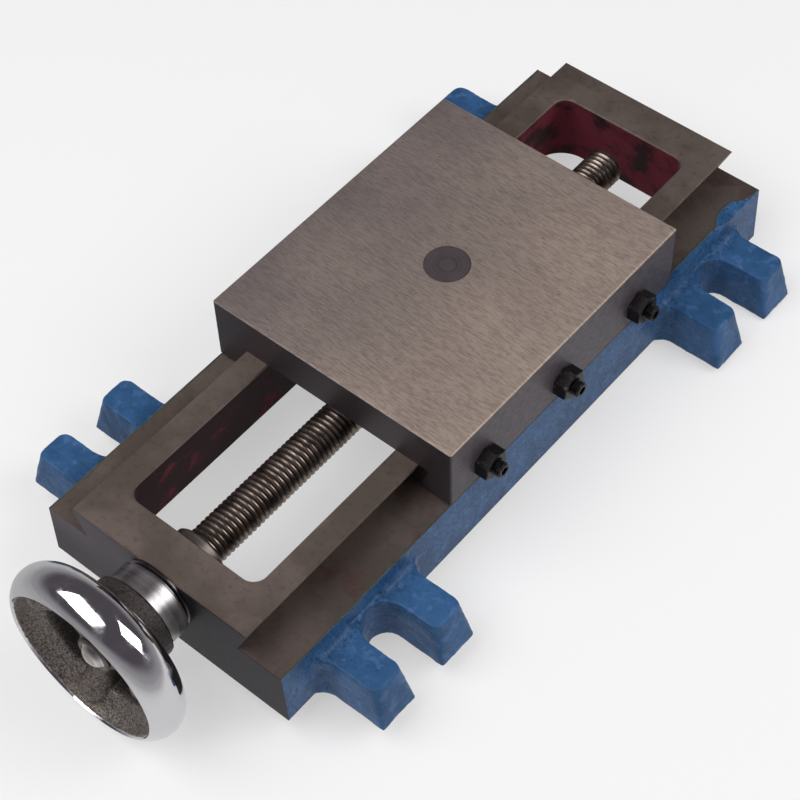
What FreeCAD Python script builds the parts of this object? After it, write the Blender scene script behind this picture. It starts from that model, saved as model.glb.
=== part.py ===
import FreeCAD, Part
import math
import os
import Sketcher

# Single-axis dovetail slide with its leadscrew and dished handwheel, in millimetres and degrees.
# The origin is on the underside at the middle of the base. +Z is up, +Y runs along the screw away
# from the handwheel, and +X is the side that carries the gib screws.

SIZES = {
    # Base casting
    "base_length": 256.0,
    "base_width": 99.4,
    "base_draft": 1.0,
    "ledge_height": 23.75,
    "dovetail_height": 11.5,
    "dovetail_top_width": 73.9,
    "dovetail_inset": 4.9,
    "end_wall": 15.0,
    "deck_land": 9.95,
    "slot_corner_radius": 5.0,
    "cavity_draft_angle": 12.0,
    "machined_edge": 0.5,
    # Lugs, sized at the ground, where they are widest; the left ones sit a little nearer the handwheel
    "lug_end_margin": 15.25,
    "lug_length": 25.5,
    "lug_height": 17.0,
    "tine_width": 16.0,
    "bolt_slot_width": 13.0,
    "bolt_slot_wall": 1.6,
    "lug_draft_angle": 5.0,
    "lug_end_draft_angle": 12.0,
    "tine_foot_radius": 0.8,
    "tine_top_radius": 3.5,
    "lug_root_radius": 6.0,
    "left_lug_set_forward": 2.2,
    # Table
    "table_length": 120.0,
    "table_width": 100.0,
    "table_height": 26.5,
    "table_gap": 1.05,
    "table_offset": 12.6,
    "slide_clearance": 0.05,
    "gib_thickness": 4.0,
    "gib_end_gap": 1.0,
    "gib_edge_gap": 0.4,
    # Gib screws and locknuts
    "gib_screw_below_deck": 3.25,
    "gib_screw_front_margin": 17.0,
    "gib_screw_rear_margin": 21.0,
    "gib_screw_radius": 3.0,
    "gib_screw_reach": 8.0,
    "dog_radius": 2.2,
    "dog_length": 1.8,
    "dimple_depth": 1.1,
    "socket_flats": 3.0,
    "socket_depth": 3.2,
    "locknut_flats": 10.0,
    "locknut_height": 5.0,
    "thread_clearance": 0.05,
    # Leadscrew
    "screw_height": 24.16,
    "screw_radius": 7.0,
    "screw_end_gap": 9.0,
    "journal_radius": 6.0,
    "wheel_seat_radius": 5.0,
    "screw_end_recess": 0.4,
    "journal_clearance": 0.06,
    # Leadscrew nut
    "nut_side_gap": 7.0,
    "nut_length": 30.0,
    "nut_below_axis": 11.5,
    "nut_edge": 1.5,
    "spigot_radius": 8.0,
    "spigot_recess": 0.25,
    "press_clearance": 0.02,
    # Bearing in the front wall
    "bush_radius": 10.0,
    "bush_flange_radius": 13.0,
    "bush_flange_thickness": 1.2,
    "bush_set_back": 0.15,
    "end_float": 0.05,
    "inner_collar_radius": 10.0,
    "inner_collar_width": 3.6,
    "collar_pin_radius": 1.0,
    "washer_thickness": 0.9,
    "washer_radius": 12.0,
    "collar_radius": 14.0,
    "collar_width": 8.2,
    "set_screw_radius": 2.0,
    # Handwheel
    "rim_tube_radius": 8.67,
    "rim_centre_radius": 25.1,
    "rim_front_radius": 28.9,
    "rim_inner_radius": 22.0,
    "rim_lip_depth": 6.2,
    "rim_lip_edge": 1.5,
    "rim_front_land": 0.7,
    "dish_radius": 10.0,
    "hub_length": 18.2,
    "hub_front_radius": 8.6,
    "hub_waist_radius": 10.5,
    "hub_rear_radius": 15.6,
    "hub_rear_width": 6.4,
    "rim_from_hub_rear": 17.3,
    "spoke_count": 3.0,
    "spoke_width": 8.0,
    "spoke_depth": 9.0,
    "spoke_set_back": 0.6,
    "knuckle_width": 9.6,
    "knuckle_depth": 11.6,
    "knuckle_run": 7.0,
    "spoke_angle": 20.0,
    "key_width": 3.0,
    "key_length": 10.0,
    "key_set_in": 2.0,
    "wheel_washer_radius": 6.6,
    "wheel_washer_thickness": 1.2,
    "wheel_screw_radius": 2.5,
    "wheel_screw_length": 14.0,
    "dome_radius": 4.8,
    "dome_height": 2.4,
}

doc = FreeCAD.newDocument("cross_slide")
sheet = doc.addObject("Spreadsheet::Sheet", "sizes")


class Size:
    """A length or an angle that knows its value and its formula over the sheet."""

    def __init__(self, value, text):
        self.value = float(value)
        self.text = text

    def join(self, other, sign, value):
        other_text = other.text if isinstance(other, Size) else repr(float(other))
        return Size(value, "(" + self.text + " " + sign + " " + other_text + ")")

    def __add__(self, other):
        return self.join(other, "+", self.value + number(other))

    def __sub__(self, other):
        return self.join(other, "-", self.value - number(other))

    def __mul__(self, other):
        return self.join(other, "*", self.value * number(other))

    def __truediv__(self, other):
        return self.join(other, "/", self.value / number(other))

    def __neg__(self):
        return Size(-self.value, "(-1 * " + self.text + ")")


def number(size):
    return size.value if isinstance(size, Size) else float(size)


def root_of(size):
    return Size(math.sqrt(size.value), "sqrt(" + size.text + ")")


def tangent_of(angle):
    return Size(math.tan(math.radians(angle.value)), "tan(" + angle.text + ")")


def fill_sheet():
    """Write each driving size to its cell and return the sizes by name."""
    sizes = {}
    for row, (name, value) in enumerate(SIZES.items(), start=1):
        sheet.set("A" + str(row), name)
        sheet.set("B" + str(row), str(value))
        sheet.setAlias("B" + str(row), name)
        sizes[name] = Size(value, "sizes." + name)
    doc.recompute()
    return sizes


S = fill_sheet()
ZERO = Size(0.0, "0")
QUARTER_TURN = Size(90.0, "90")
LEAST_CUT = 0.01
FIND = 0.05


# Sketch and feature helpers


def bind(thing, prop, size):
    """Tie a property to the sheet."""
    thing.setExpression(prop, size.text)


def new_body(label):
    body = doc.addObject("PartDesign::Body", label)
    body.Label = label
    return body


def origin_part(body, role):
    return next(item for item in body.Origin.OriginFeatures if item.Role == role)


def new_sketch(body, name, plane, offset=None):
    """Sketch on one of the body's origin planes, moved along the plane's normal by offset."""
    sketch = body.newObject("Sketcher::SketchObject", name)
    sketch.AttachmentSupport = [(origin_part(body, plane), "")]
    sketch.MapMode = "FlatFace"
    if offset is not None:
        bind(sketch, "AttachmentOffset.Base.z", offset)
    return sketch


def tie_point(sketch, item, end, point):
    """Hold one end of a sketch item at a point measured from the sketch's origin."""
    for kind, axis, size in (("DistanceX", -2, point[0]), ("DistanceY", -1, point[1])):
        if size is ZERO:
            sketch.addConstraint(Sketcher.Constraint("PointOnObject", item, end, axis))
        else:
            index = sketch.addConstraint(Sketcher.Constraint(kind, -1, 1, item, end, size.value))
            bind(sketch, "Constraints[" + str(index) + "]", size)


def tie_radius(sketch, item, radius):
    index = sketch.addConstraint(Sketcher.Constraint("Radius", item, radius.value))
    bind(sketch, "Constraints[" + str(index) + "]", radius)


def arc_between(start, end, radius, turn):
    """The shorter arc from start to end; turn is 1 when it runs counter-clockwise, else -1."""
    chord = end - start
    middle = (start + end) * 0.5
    left = FreeCAD.Vector(-chord.y, chord.x, 0).normalize()
    rise = math.sqrt(max(radius * radius - chord.Length * chord.Length / 4, 0.0))
    centre = middle + left * (rise * turn)
    first, last = (start, end) if turn > 0 else (end, start)
    first_angle = math.atan2(first.y - centre.y, first.x - centre.x)
    last_angle = math.atan2(last.y - centre.y, last.x - centre.x)
    circle = Part.Circle(centre, FreeCAD.Vector(0, 0, 1), radius)
    return Part.ArcOfCircle(circle, first_angle, last_angle)


def draw_outline(sketch, corners):
    """Closed outline through corners (x, y); a corner (x, y, radius, turn) is reached by an arc."""
    first_item = sketch.GeometryCount
    count = len(corners)
    starts = []
    ends = []
    for index in range(count):
        here = corners[index]
        there = corners[(index + 1) % count]
        start = FreeCAD.Vector(here[0].value, here[1].value, 0)
        end = FreeCAD.Vector(there[0].value, there[1].value, 0)
        if len(there) == 2:
            sketch.addGeometry(Part.LineSegment(start, end))
            starts.append(1)
            ends.append(2)
        else:
            radius, turn = there[2:]
            item = sketch.addGeometry(arc_between(start, end, radius.value, turn))
            tie_radius(sketch, item, radius)
            starts.append(1 if turn > 0 else 2)
            ends.append(2 if turn > 0 else 1)
    for index in range(count):
        following = (index + 1) % count
        sketch.addConstraint(Sketcher.Constraint(
            "Coincident", first_item + index, ends[index], first_item + following, starts[following]))
        tie_point(sketch, first_item + index, starts[index], corners[index])


def draw_circle(sketch, centre, radius):
    middle = FreeCAD.Vector(centre[0].value, centre[1].value, 0)
    item = sketch.addGeometry(Part.Circle(middle, FreeCAD.Vector(0, 0, 1), radius.value))
    tie_point(sketch, item, 3, centre)
    tie_radius(sketch, item, radius)


def draw_rectangle(sketch, low, high):
    draw_outline(sketch, [low, (high[0], low[1]), high, (low[0], high[1])])


def hexagon_corners(flats, middle=None):
    """Corners of a hexagon on the sketch's second axis with two flats facing sideways."""
    half = flats / 2
    side = flats / math.sqrt(3.0)
    if middle is None:
        middle = side * 0
    return [(half, middle - side / 2), (half, middle + side / 2), (ZERO, middle + side),
            (-half, middle + side / 2), (-half, middle - side / 2), (ZERO, middle - side)]


def pad(body, name, sketch, length, symmetric=False):
    feature = body.newObject("PartDesign::Pad", name)
    feature.Profile = sketch
    bind(feature, "Length", length)
    if symmetric:
        feature.SideType = "Symmetric"
    doc.recompute()
    return feature


def removed(body, name, before):
    """Stop when a cutting feature has cut nothing."""
    doc.recompute()
    if not body.Shape.Volume < before - LEAST_CUT:
        raise RuntimeError(name + " cuts nothing")


def pocket(body, name, sketch, depth=None, away=False, draft=None):
    """Cut a sketch into the body, against the sketch's normal, or right through without a depth."""
    before = body.Shape.Volume
    feature = body.newObject("PartDesign::Pocket", name)
    feature.Profile = sketch
    feature.Reversed = away
    if depth is None:
        feature.Type = "ThroughAll"
    else:
        bind(feature, "Length", depth)
    if draft is not None:
        bind(feature, "TaperAngle", draft)
    removed(body, name, before)
    return feature


def pocket_between(body, name, sketch, low, high):
    """Cut a sketch on the XY plane between two heights above it."""
    bind(sketch, "AttachmentOffset.Base.z", high)
    return pocket(body, name, sketch, high - low)


def revolve(body, name, sketch, axis="H_Axis"):
    feature = body.newObject("PartDesign::Revolution", name)
    feature.Profile = sketch
    feature.ReferenceAxis = (sketch, [axis])
    feature.Angle = 360.0
    doc.recompute()
    return feature


def groove(body, name, sketch, axis="H_Axis"):
    before = body.Shape.Volume
    feature = body.newObject("PartDesign::Groove", name)
    feature.Profile = sketch
    feature.ReferenceAxis = (sketch, [axis])
    feature.Angle = 360.0
    removed(body, name, before)
    return feature


def loft(body, kind, name, sketches):
    feature = body.newObject("PartDesign::" + kind, name)
    feature.Profile = sketches[0]
    feature.Sections = sketches[1:]
    feature.Ruled = len(sketches) == 2
    doc.recompute()
    return feature


def edge_names(body, wanted):
    """Names of the body's edges whose shape passes the test."""
    return ["Edge" + str(index) for index, edge in enumerate(body.Shape.Edges, start=1) if wanted(edge)]


def dress(body, kind, name, prop, size, wanted):
    """Round or chamfer the edges that pass the test."""
    names = edge_names(body, wanted)
    if not names:
        raise RuntimeError(name + " finds no edge")
    feature = body.newObject("PartDesign::" + kind, name)
    feature.Base = (body.Tip if body.Tip is not feature else feature.BaseFeature, names)
    bind(feature, prop, size)
    doc.recompute()
    return feature


def fillet(body, name, radius, wanted):
    return dress(body, "Fillet", name, "Radius", radius, wanted)


def chamfer(body, name, size, wanted):
    return dress(body, "Chamfer", name, "Size", size, wanted)


def put(body, x=None, y=None, z=None):
    """Place a body, each coordinate tied to the sheet."""
    for axis, size in (("x", x), ("y", y), ("z", z)):
        if size is not None:
            bind(body, "Placement.Base." + axis, size)


def put_on_screw(body):
    """Raise a piece that is modelled about the Y axis to the screw, turned to the wheel's rest angle."""
    body.Placement = FreeCAD.Placement(FreeCAD.Vector(), FreeCAD.Rotation(FreeCAD.Vector(0, 1, 0), 1))
    bind(body, "Placement.Rotation.Angle", QUARTER_TURN - S["spoke_angle"])
    put(body, z=S["screw_height"])


def near(value, size, margin=FIND):
    return abs(value - number(size)) < margin


def ends_of(edge):
    return [vertex.Point for vertex in edge.Vertexes]


# Sizes that follow from the driving ones

half_base = S["base_length"] / 2
half_edge = S["base_width"] / 2
half_foot = half_edge + S["base_draft"]
deck_height = S["ledge_height"] + S["dovetail_height"]
half_deck = S["dovetail_top_width"] / 2
half_root = half_deck - S["dovetail_inset"]
flank_slope = S["dovetail_inset"] / S["dovetail_height"]
half_slot = half_deck - S["deck_land"]
half_opening = half_base - S["end_wall"]
bolt_radius = S["bolt_slot_width"] / 2
half_lug = bolt_radius + S["tine_width"]
lug_reach = half_foot + S["lug_length"]
lug_lean = S["lug_height"] * tangent_of(S["lug_draft_angle"])
lug_end_lean = S["lug_height"] * tangent_of(S["lug_end_draft_angle"])
half_table = S["table_width"] / 2
table_bottom = S["ledge_height"] + S["table_gap"]
table_top = table_bottom + S["table_height"]
recess_ceiling = deck_height + S["slide_clearance"]
gib_width = S["gib_thickness"] * root_of(flank_slope * flank_slope + 1)


def flank(height):
    """Half the width of the base's dovetail at a height."""
    return half_root + (height - S["ledge_height"]) * flank_slope


gib_screw_height = deck_height - S["gib_screw_below_deck"]
dimple_floor = flank(gib_screw_height) + S["slide_clearance"] + gib_width - S["dimple_depth"]
front_place = S["table_offset"] - S["table_length"] / 2 + S["gib_screw_front_margin"]
rear_place = S["table_offset"] + S["table_length"] / 2 - S["gib_screw_rear_margin"]
screw_places = [front_place, (front_place + rear_place) / 2, rear_place]
screw_rear_end = half_opening - S["screw_end_gap"]
bush_inner_end = -half_opening - S["bush_set_back"]
bush_outer_end = -half_base - S["bush_flange_thickness"]
inner_collar_front = bush_inner_end + S["end_float"]
inner_collar_rear = inner_collar_front + S["inner_collar_width"]
washer_rear = bush_outer_end - S["end_float"]
collar_rear = washer_rear - S["washer_thickness"]
collar_front = collar_rear - S["collar_width"]
set_screw_place = (collar_front + collar_rear) / 2
hub_rear = collar_front - S["press_clearance"]
hub_front = hub_rear - S["hub_length"]
rim_middle = hub_rear - S["rim_from_hub_rear"]
washer_front = hub_front - S["wheel_washer_thickness"]
screw_front_end = hub_front + S["screw_end_recess"]


# Base casting

def lug_middle(side, end):
    """Where a pair of tines is centred along the base; side is 1 for +X, end is 1 for the rear."""
    middle = (half_base - S["lug_end_margin"] - half_lug) * end
    return middle if side > 0 else middle - S["left_lug_set_forward"]


def draw_lug(sketch, side, middle, lean, end_lean, corner):
    """One pair of tines round its bolt slot; lean and end_lean say how far sides and tips come in."""
    root = (half_edge - S["lug_root_radius"]) * side
    reach = (lug_reach - end_lean) * side
    outer = half_lug - lean
    inner = bolt_radius + lean
    slot_end = (half_foot + S["bolt_slot_wall"] - lean) * side
    slot_centre = slot_end + inner * side
    shoulder = reach - corner * side
    draw_outline(sketch, [
        (root, middle - outer),
        (shoulder, middle - outer),
        (reach, middle - outer + corner, corner, side),
        (reach, middle - inner - corner),
        (shoulder, middle - inner, corner, side),
        (slot_centre, middle - inner),
        (slot_end, middle, inner, -side),
        (slot_centre, middle + inner, inner, -side),
        (shoulder, middle + inner),
        (reach, middle + inner + corner, corner, side),
        (reach, middle + outer - corner),
        (shoulder, middle + outer, corner, side),
        (root, middle + outer)])


def add_lug(body, name, side, middle):
    """Cast pair of tines, tapering from the ground to its top with its corners ever rounder."""
    foot = new_sketch(body, name + "_foot", "XY_Plane")
    draw_lug(foot, side, middle, ZERO, ZERO, S["tine_foot_radius"])
    top = new_sketch(body, name + "_top", "XY_Plane", S["lug_height"])
    draw_lug(top, side, middle, lug_lean, lug_end_lean, S["tine_top_radius"])
    loft(body, "AdditiveLoft", name, [foot, top])


def draw_cavity(sketch):
    """The slot in the deck, a rectangle with rounded corners."""
    corner = S["slot_corner_radius"]
    wide = half_slot - corner
    long = half_opening - corner
    draw_outline(sketch, [
        (-wide, -half_opening, corner, 1), (wide, -half_opening), (half_slot, -long, corner, 1),
        (half_slot, long), (wide, half_opening, corner, 1), (-wide, half_opening),
        (-half_slot, long, corner, 1), (-half_slot, -long)])


def is_lug_root(edge):
    """Upright inside corner between a lug's side and the base."""
    upright = len(edge.Vertexes) == 2 and near(edge.BoundBox.ZLength, S["lug_height"])
    return upright and all(near(abs(point.x), half_edge + S["base_draft"] / 2, number(S["base_draft"]))
                           for point in ends_of(edge))


def is_deck_edge(edge):
    """Edges of the dovetail's top, outside and round the slot."""
    return near(edge.BoundBox.ZMin, deck_height) and near(edge.BoundBox.ZLength, 0)


def build_base():
    body = new_body("base_casting")
    section = new_sketch(body, "base_section", "XZ_Plane")
    draw_outline(section, [
        (-half_foot, ZERO), (half_foot, ZERO), (half_edge, S["ledge_height"]),
        (half_root, S["ledge_height"]), (half_deck, deck_height), (-half_deck, deck_height),
        (-half_root, S["ledge_height"]), (-half_edge, S["ledge_height"])])
    pad(body, "base_bar", section, S["base_length"], symmetric=True)
    for side, side_name in ((1, "right"), (-1, "left")):
        for end, end_name in ((-1, "front"), (1, "rear")):
            add_lug(body, "lug_" + end_name + "_" + side_name, side, lug_middle(side, end))
    fillet(body, "lug_roots", S["lug_root_radius"], is_lug_root)
    cavity = new_sketch(body, "cavity_outline", "XY_Plane", deck_height)
    draw_cavity(cavity)
    pocket(body, "cavity", cavity, deck_height, draft=S["cavity_draft_angle"])
    bore = new_sketch(body, "bush_bore_circle", "XZ_Plane", half_base)
    draw_circle(bore, (ZERO, S["screw_height"]), S["bush_radius"] + S["press_clearance"])
    pocket(body, "bush_bore", bore, half_base)
    chamfer(body, "deck_edges", S["machined_edge"], is_deck_edge)
    return body


# Table and its gib

def is_table_edge(edge):
    """Outer edges of the table's block, not those of the recess."""
    box = edge.BoundBox
    on_top = near(box.ZMin, table_top) and near(box.ZLength, 0) and len(edge.Vertexes) == 2
    upright = near(box.ZLength, S["table_height"]) and near(box.XLength, 0)
    return on_top or upright


def build_table():
    body = new_body("sliding_table")
    clearance = S["slide_clearance"]
    section = new_sketch(body, "table_section", "XZ_Plane", -S["table_offset"])
    far = gib_width + clearance * 2
    draw_outline(section, [
        (-half_table, table_bottom), (-flank(table_bottom) - clearance, table_bottom),
        (-flank(recess_ceiling) - clearance, recess_ceiling),
        (flank(recess_ceiling) + far, recess_ceiling), (flank(table_bottom) + far, table_bottom),
        (half_table, table_bottom), (half_table, table_top), (-half_table, table_top)])
    pad(body, "table_block", section, S["table_length"], symmetric=True)
    chamfer(body, "table_edges", S["machined_edge"], is_table_edge)
    spigot = new_sketch(body, "spigot_circle", "XY_Plane", table_top)
    draw_circle(spigot, (ZERO, S["table_offset"]), S["spigot_radius"] + S["press_clearance"])
    pocket(body, "spigot_bore", spigot)
    holes = new_sketch(body, "gib_screw_circles", "YZ_Plane", half_table)
    for place in screw_places:
        draw_circle(holes, (place, gib_screw_height), S["gib_screw_radius"] + S["thread_clearance"])
    pocket(body, "gib_screw_holes", holes, half_table - flank(table_bottom) - gib_width)
    return body


def build_gib():
    body = new_body("gib_strip")
    clearance = S["slide_clearance"]
    low = table_bottom + S["gib_edge_gap"]
    high = recess_ceiling - S["gib_edge_gap"]
    section = new_sketch(body, "gib_section", "XZ_Plane", -S["table_offset"])
    draw_outline(section, [
        (flank(low) + clearance, low), (flank(low) + clearance + gib_width, low),
        (flank(high) + clearance + gib_width, high), (flank(high) + clearance, high)])
    pad(body, "gib_bar", section, S["table_length"] - S["gib_end_gap"] * 2, symmetric=True)
    spots = new_sketch(body, "gib_dimple_circles", "YZ_Plane", half_table)
    for place in screw_places:
        draw_circle(spots, (place, gib_screw_height), S["dog_radius"] + S["thread_clearance"])
    pocket(body, "gib_dimples", spots, half_table - dimple_floor)
    return body


def build_gib_screw(label, place):
    """Dog-point grub screw along +X, its tip in the gib's dimple."""
    body = new_body(label)
    length = half_table + S["gib_screw_reach"] - dimple_floor
    cone = S["gib_screw_radius"] - S["dog_radius"]
    break_edge = S["machined_edge"]
    section = new_sketch(body, label + "_section", "XZ_Plane")
    draw_outline(section, [
        (ZERO, ZERO), (ZERO, S["dog_radius"]), (S["dog_length"], S["dog_radius"]),
        (S["dog_length"] + cone, S["gib_screw_radius"]), (length - break_edge, S["gib_screw_radius"]),
        (length, S["gib_screw_radius"] - break_edge), (length, ZERO)])
    revolve(body, label + "_shank", section)
    socket = new_sketch(body, label + "_socket_outline", "YZ_Plane", length)
    draw_outline(socket, hexagon_corners(S["socket_flats"]))
    pocket(body, label + "_socket", socket, S["socket_depth"])
    put(body, dimple_floor, place, gib_screw_height)
    return body


def build_locknut(label, place):
    """Hexagon nut against the table's side, its outer corners chamfered."""
    body = new_body(label)
    height = S["locknut_height"]
    outline = new_sketch(body, label + "_hexagon", "YZ_Plane")
    draw_outline(outline, hexagon_corners(S["locknut_flats"]))
    draw_circle(outline, (ZERO, ZERO), S["gib_screw_radius"] + S["thread_clearance"])
    pad(body, label + "_prism", outline, height)
    tip = S["locknut_flats"] / math.sqrt(3.0)
    slack = S["machined_edge"]
    cut = new_sketch(body, label + "_chamfer_section", "XZ_Plane")
    inner = S["locknut_flats"] / 2 - slack / 2
    drop = (tip + slack - inner) / math.sqrt(3.0)
    draw_outline(cut, [(height, inner), (height - drop, tip + slack), (height + slack, tip + slack),
                       (height + slack, inner)])
    groove(body, label + "_chamfer", cut)
    put(body, half_table, place, gib_screw_height)
    return body


# Leadscrew, its nut and its bearing. These turn about the Y axis and are raised to the screw's height.

def build_leadscrew():
    body = new_body("leadscrew")
    edge = S["machined_edge"] * 2
    section = new_sketch(body, "leadscrew_section", "YZ_Plane")
    draw_outline(section, [
        (screw_front_end, ZERO), (screw_front_end, S["wheel_seat_radius"] - S["machined_edge"]),
        (screw_front_end + S["machined_edge"], S["wheel_seat_radius"]),
        (hub_rear, S["wheel_seat_radius"]), (hub_rear, S["journal_radius"]),
        (inner_collar_rear, S["journal_radius"]), (inner_collar_rear, S["screw_radius"]),
        (screw_rear_end - edge, S["screw_radius"]), (screw_rear_end, S["screw_radius"] - edge),
        (screw_rear_end, ZERO)])
    revolve(body, "leadscrew_bar", section)
    tapped = new_sketch(body, "end_thread_circle", "XZ_Plane", -screw_front_end)
    draw_circle(tapped, (ZERO, ZERO), S["wheel_screw_radius"] + S["thread_clearance"])
    pocket(body, "end_thread", tapped, S["wheel_screw_length"] + edge)
    keyway = new_sketch(body, "keyway_outline", "XY_Plane")
    key_rear = hub_rear - S["key_set_in"]
    key_front = key_rear - S["key_length"]
    half_key = S["key_width"] / 2 + S["press_clearance"]
    draw_rectangle(keyway, (-half_key, key_front), (half_key, key_rear))
    pocket_between(body, "keyway", keyway, S["wheel_seat_radius"] - S["key_width"] / 2, S["screw_radius"])
    pin_hole = new_sketch(body, "pin_hole_circle", "XY_Plane")
    draw_circle(pin_hole, (ZERO, (inner_collar_front + inner_collar_rear) / 2), S["collar_pin_radius"]
                + S["press_clearance"])
    through = pocket(body, "pin_hole", pin_hole)
    through.SideType = "Symmetric"
    put_on_screw(body)
    return body


def turned(label, profile, extra=None):
    """A turned piece about the Y axis at the screw's height; profile is (y, radius) corners."""
    body = new_body(label)
    section = new_sketch(body, label + "_section", "YZ_Plane")
    draw_outline(section, profile)
    revolve(body, label + "_turning", section)
    if extra is not None:
        extra(body)
    put_on_screw(body)
    return body


def ring_profile(front, rear, inner, outer, edge):
    """Ring section with both outer corners broken."""
    return [(front, inner), (front, outer - edge), (front + edge, outer),
            (rear - edge, outer), (rear, outer - edge), (rear, inner)]


def build_bush():
    bore = S["journal_radius"] + S["journal_clearance"]
    edge = S["machined_edge"]
    return turned("front_bearing_bush", [
        (bush_outer_end, bore), (bush_outer_end, S["bush_flange_radius"] - edge),
        (bush_outer_end + edge, S["bush_flange_radius"]), (-half_base, S["bush_flange_radius"]),
        (-half_base, S["bush_radius"]), (bush_inner_end, S["bush_radius"]), (bush_inner_end, bore)])


def build_inner_collar():
    def pin_hole(body):
        sketch = new_sketch(body, "inner_collar_pin_circle", "XY_Plane")
        draw_circle(sketch, (ZERO, (inner_collar_front + inner_collar_rear) / 2),
                    S["collar_pin_radius"] + S["press_clearance"])
        feature = pocket(body, "inner_collar_pin_hole", sketch)
        feature.SideType = "Symmetric"

    bore = S["journal_radius"] + S["press_clearance"]
    return turned("inner_thrust_collar",
                  ring_profile(inner_collar_front, inner_collar_rear, bore, S["inner_collar_radius"],
                               S["machined_edge"]), pin_hole)


def build_collar_pin():
    body = new_body("collar_pin")
    sketch = new_sketch(body, "collar_pin_circle", "XY_Plane")
    draw_circle(sketch, (ZERO, (inner_collar_front + inner_collar_rear) / 2), S["collar_pin_radius"])
    pad(body, "collar_pin_bar", sketch, S["inner_collar_radius"] * 2 - S["machined_edge"] * 2, symmetric=True)
    put_on_screw(body)
    return body


def build_thrust_washer():
    bore = S["journal_radius"] + S["journal_clearance"]
    return turned("thrust_washer", ring_profile(collar_rear, washer_rear, bore, S["washer_radius"],
                                                S["machined_edge"] / 2))


def build_thrust_collar():
    def tapped_hole(body):
        sketch = new_sketch(body, "set_screw_circle", "XY_Plane", -S["collar_radius"])
        draw_circle(sketch, (ZERO, set_screw_place), S["set_screw_radius"] + S["thread_clearance"])
        pocket(body, "set_screw_hole", sketch, S["collar_radius"], away=True)

    bore = S["journal_radius"] + S["press_clearance"]
    return turned("thrust_collar", ring_profile(collar_front, collar_rear, bore, S["collar_radius"],
                                                S["machined_edge"]), tapped_hole)


def build_set_screw():
    """Socket grub screw under the collar, its flat point on the journal."""
    body = new_body("collar_set_screw")
    edge = S["machined_edge"]
    radius = S["set_screw_radius"]
    point = -S["journal_radius"] - S["press_clearance"]
    back = edge - S["collar_radius"]
    section = new_sketch(body, "set_screw_section", "XZ_Plane", -set_screw_place)
    draw_outline(section, [(ZERO, point), (radius - edge, point), (radius, point - edge),
                           (radius, back + edge), (radius - edge, back), (ZERO, back)])
    revolve(body, "set_screw_shank", section, axis="V_Axis")
    socket = new_sketch(body, "set_screw_socket_outline", "XY_Plane", back)
    draw_outline(socket, hexagon_corners(S["set_screw_radius"], set_screw_place))
    pocket(body, "set_screw_socket", socket, S["set_screw_radius"], away=True)
    put_on_screw(body)
    return body


def build_leadscrew_nut():
    """Block that hangs from the table, round the screw, with a spigot up to the table's top."""
    body = new_body("leadscrew_nut")
    half_width = half_slot - S["nut_side_gap"]
    low = S["screw_height"] - S["nut_below_axis"]
    section = new_sketch(body, "nut_section", "XZ_Plane", -S["table_offset"])
    draw_rectangle(section, (-half_width, low), (half_width, recess_ceiling))
    pad(body, "nut_block", section, S["nut_length"], symmetric=True)
    chamfer(body, "nut_edges", S["nut_edge"],
            lambda edge: near(edge.BoundBox.YLength, S["nut_length"]) and near(edge.BoundBox.ZMin, low))
    spigot = new_sketch(body, "nut_spigot_circle", "XY_Plane", recess_ceiling)
    draw_circle(spigot, (ZERO, S["table_offset"]), S["spigot_radius"])
    pad(body, "nut_spigot", spigot, table_top - S["spigot_recess"] - recess_ceiling)
    bore = new_sketch(body, "nut_thread_circle", "XZ_Plane", -S["table_offset"])
    draw_circle(bore, (ZERO, S["screw_height"]), S["screw_radius"] + S["journal_clearance"])
    thread = pocket(body, "nut_thread", bore)
    thread.SideType = "Symmetric"
    return body


# Handwheel

def draw_spoke_section(sketch, middle, across, deep):
    """Rounded section of a spoke: half-round ends on a flat-sided bar, longer along the axis."""
    half = across / 2
    flat = deep / 2 - half
    draw_outline(sketch, [
        (half, middle - flat, half, 1), (half, middle + flat), (ZERO, middle + flat + half, half, 1),
        (-half, middle + flat, half, 1), (-half, middle - flat), (ZERO, middle - flat - half, half, 1)])


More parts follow.
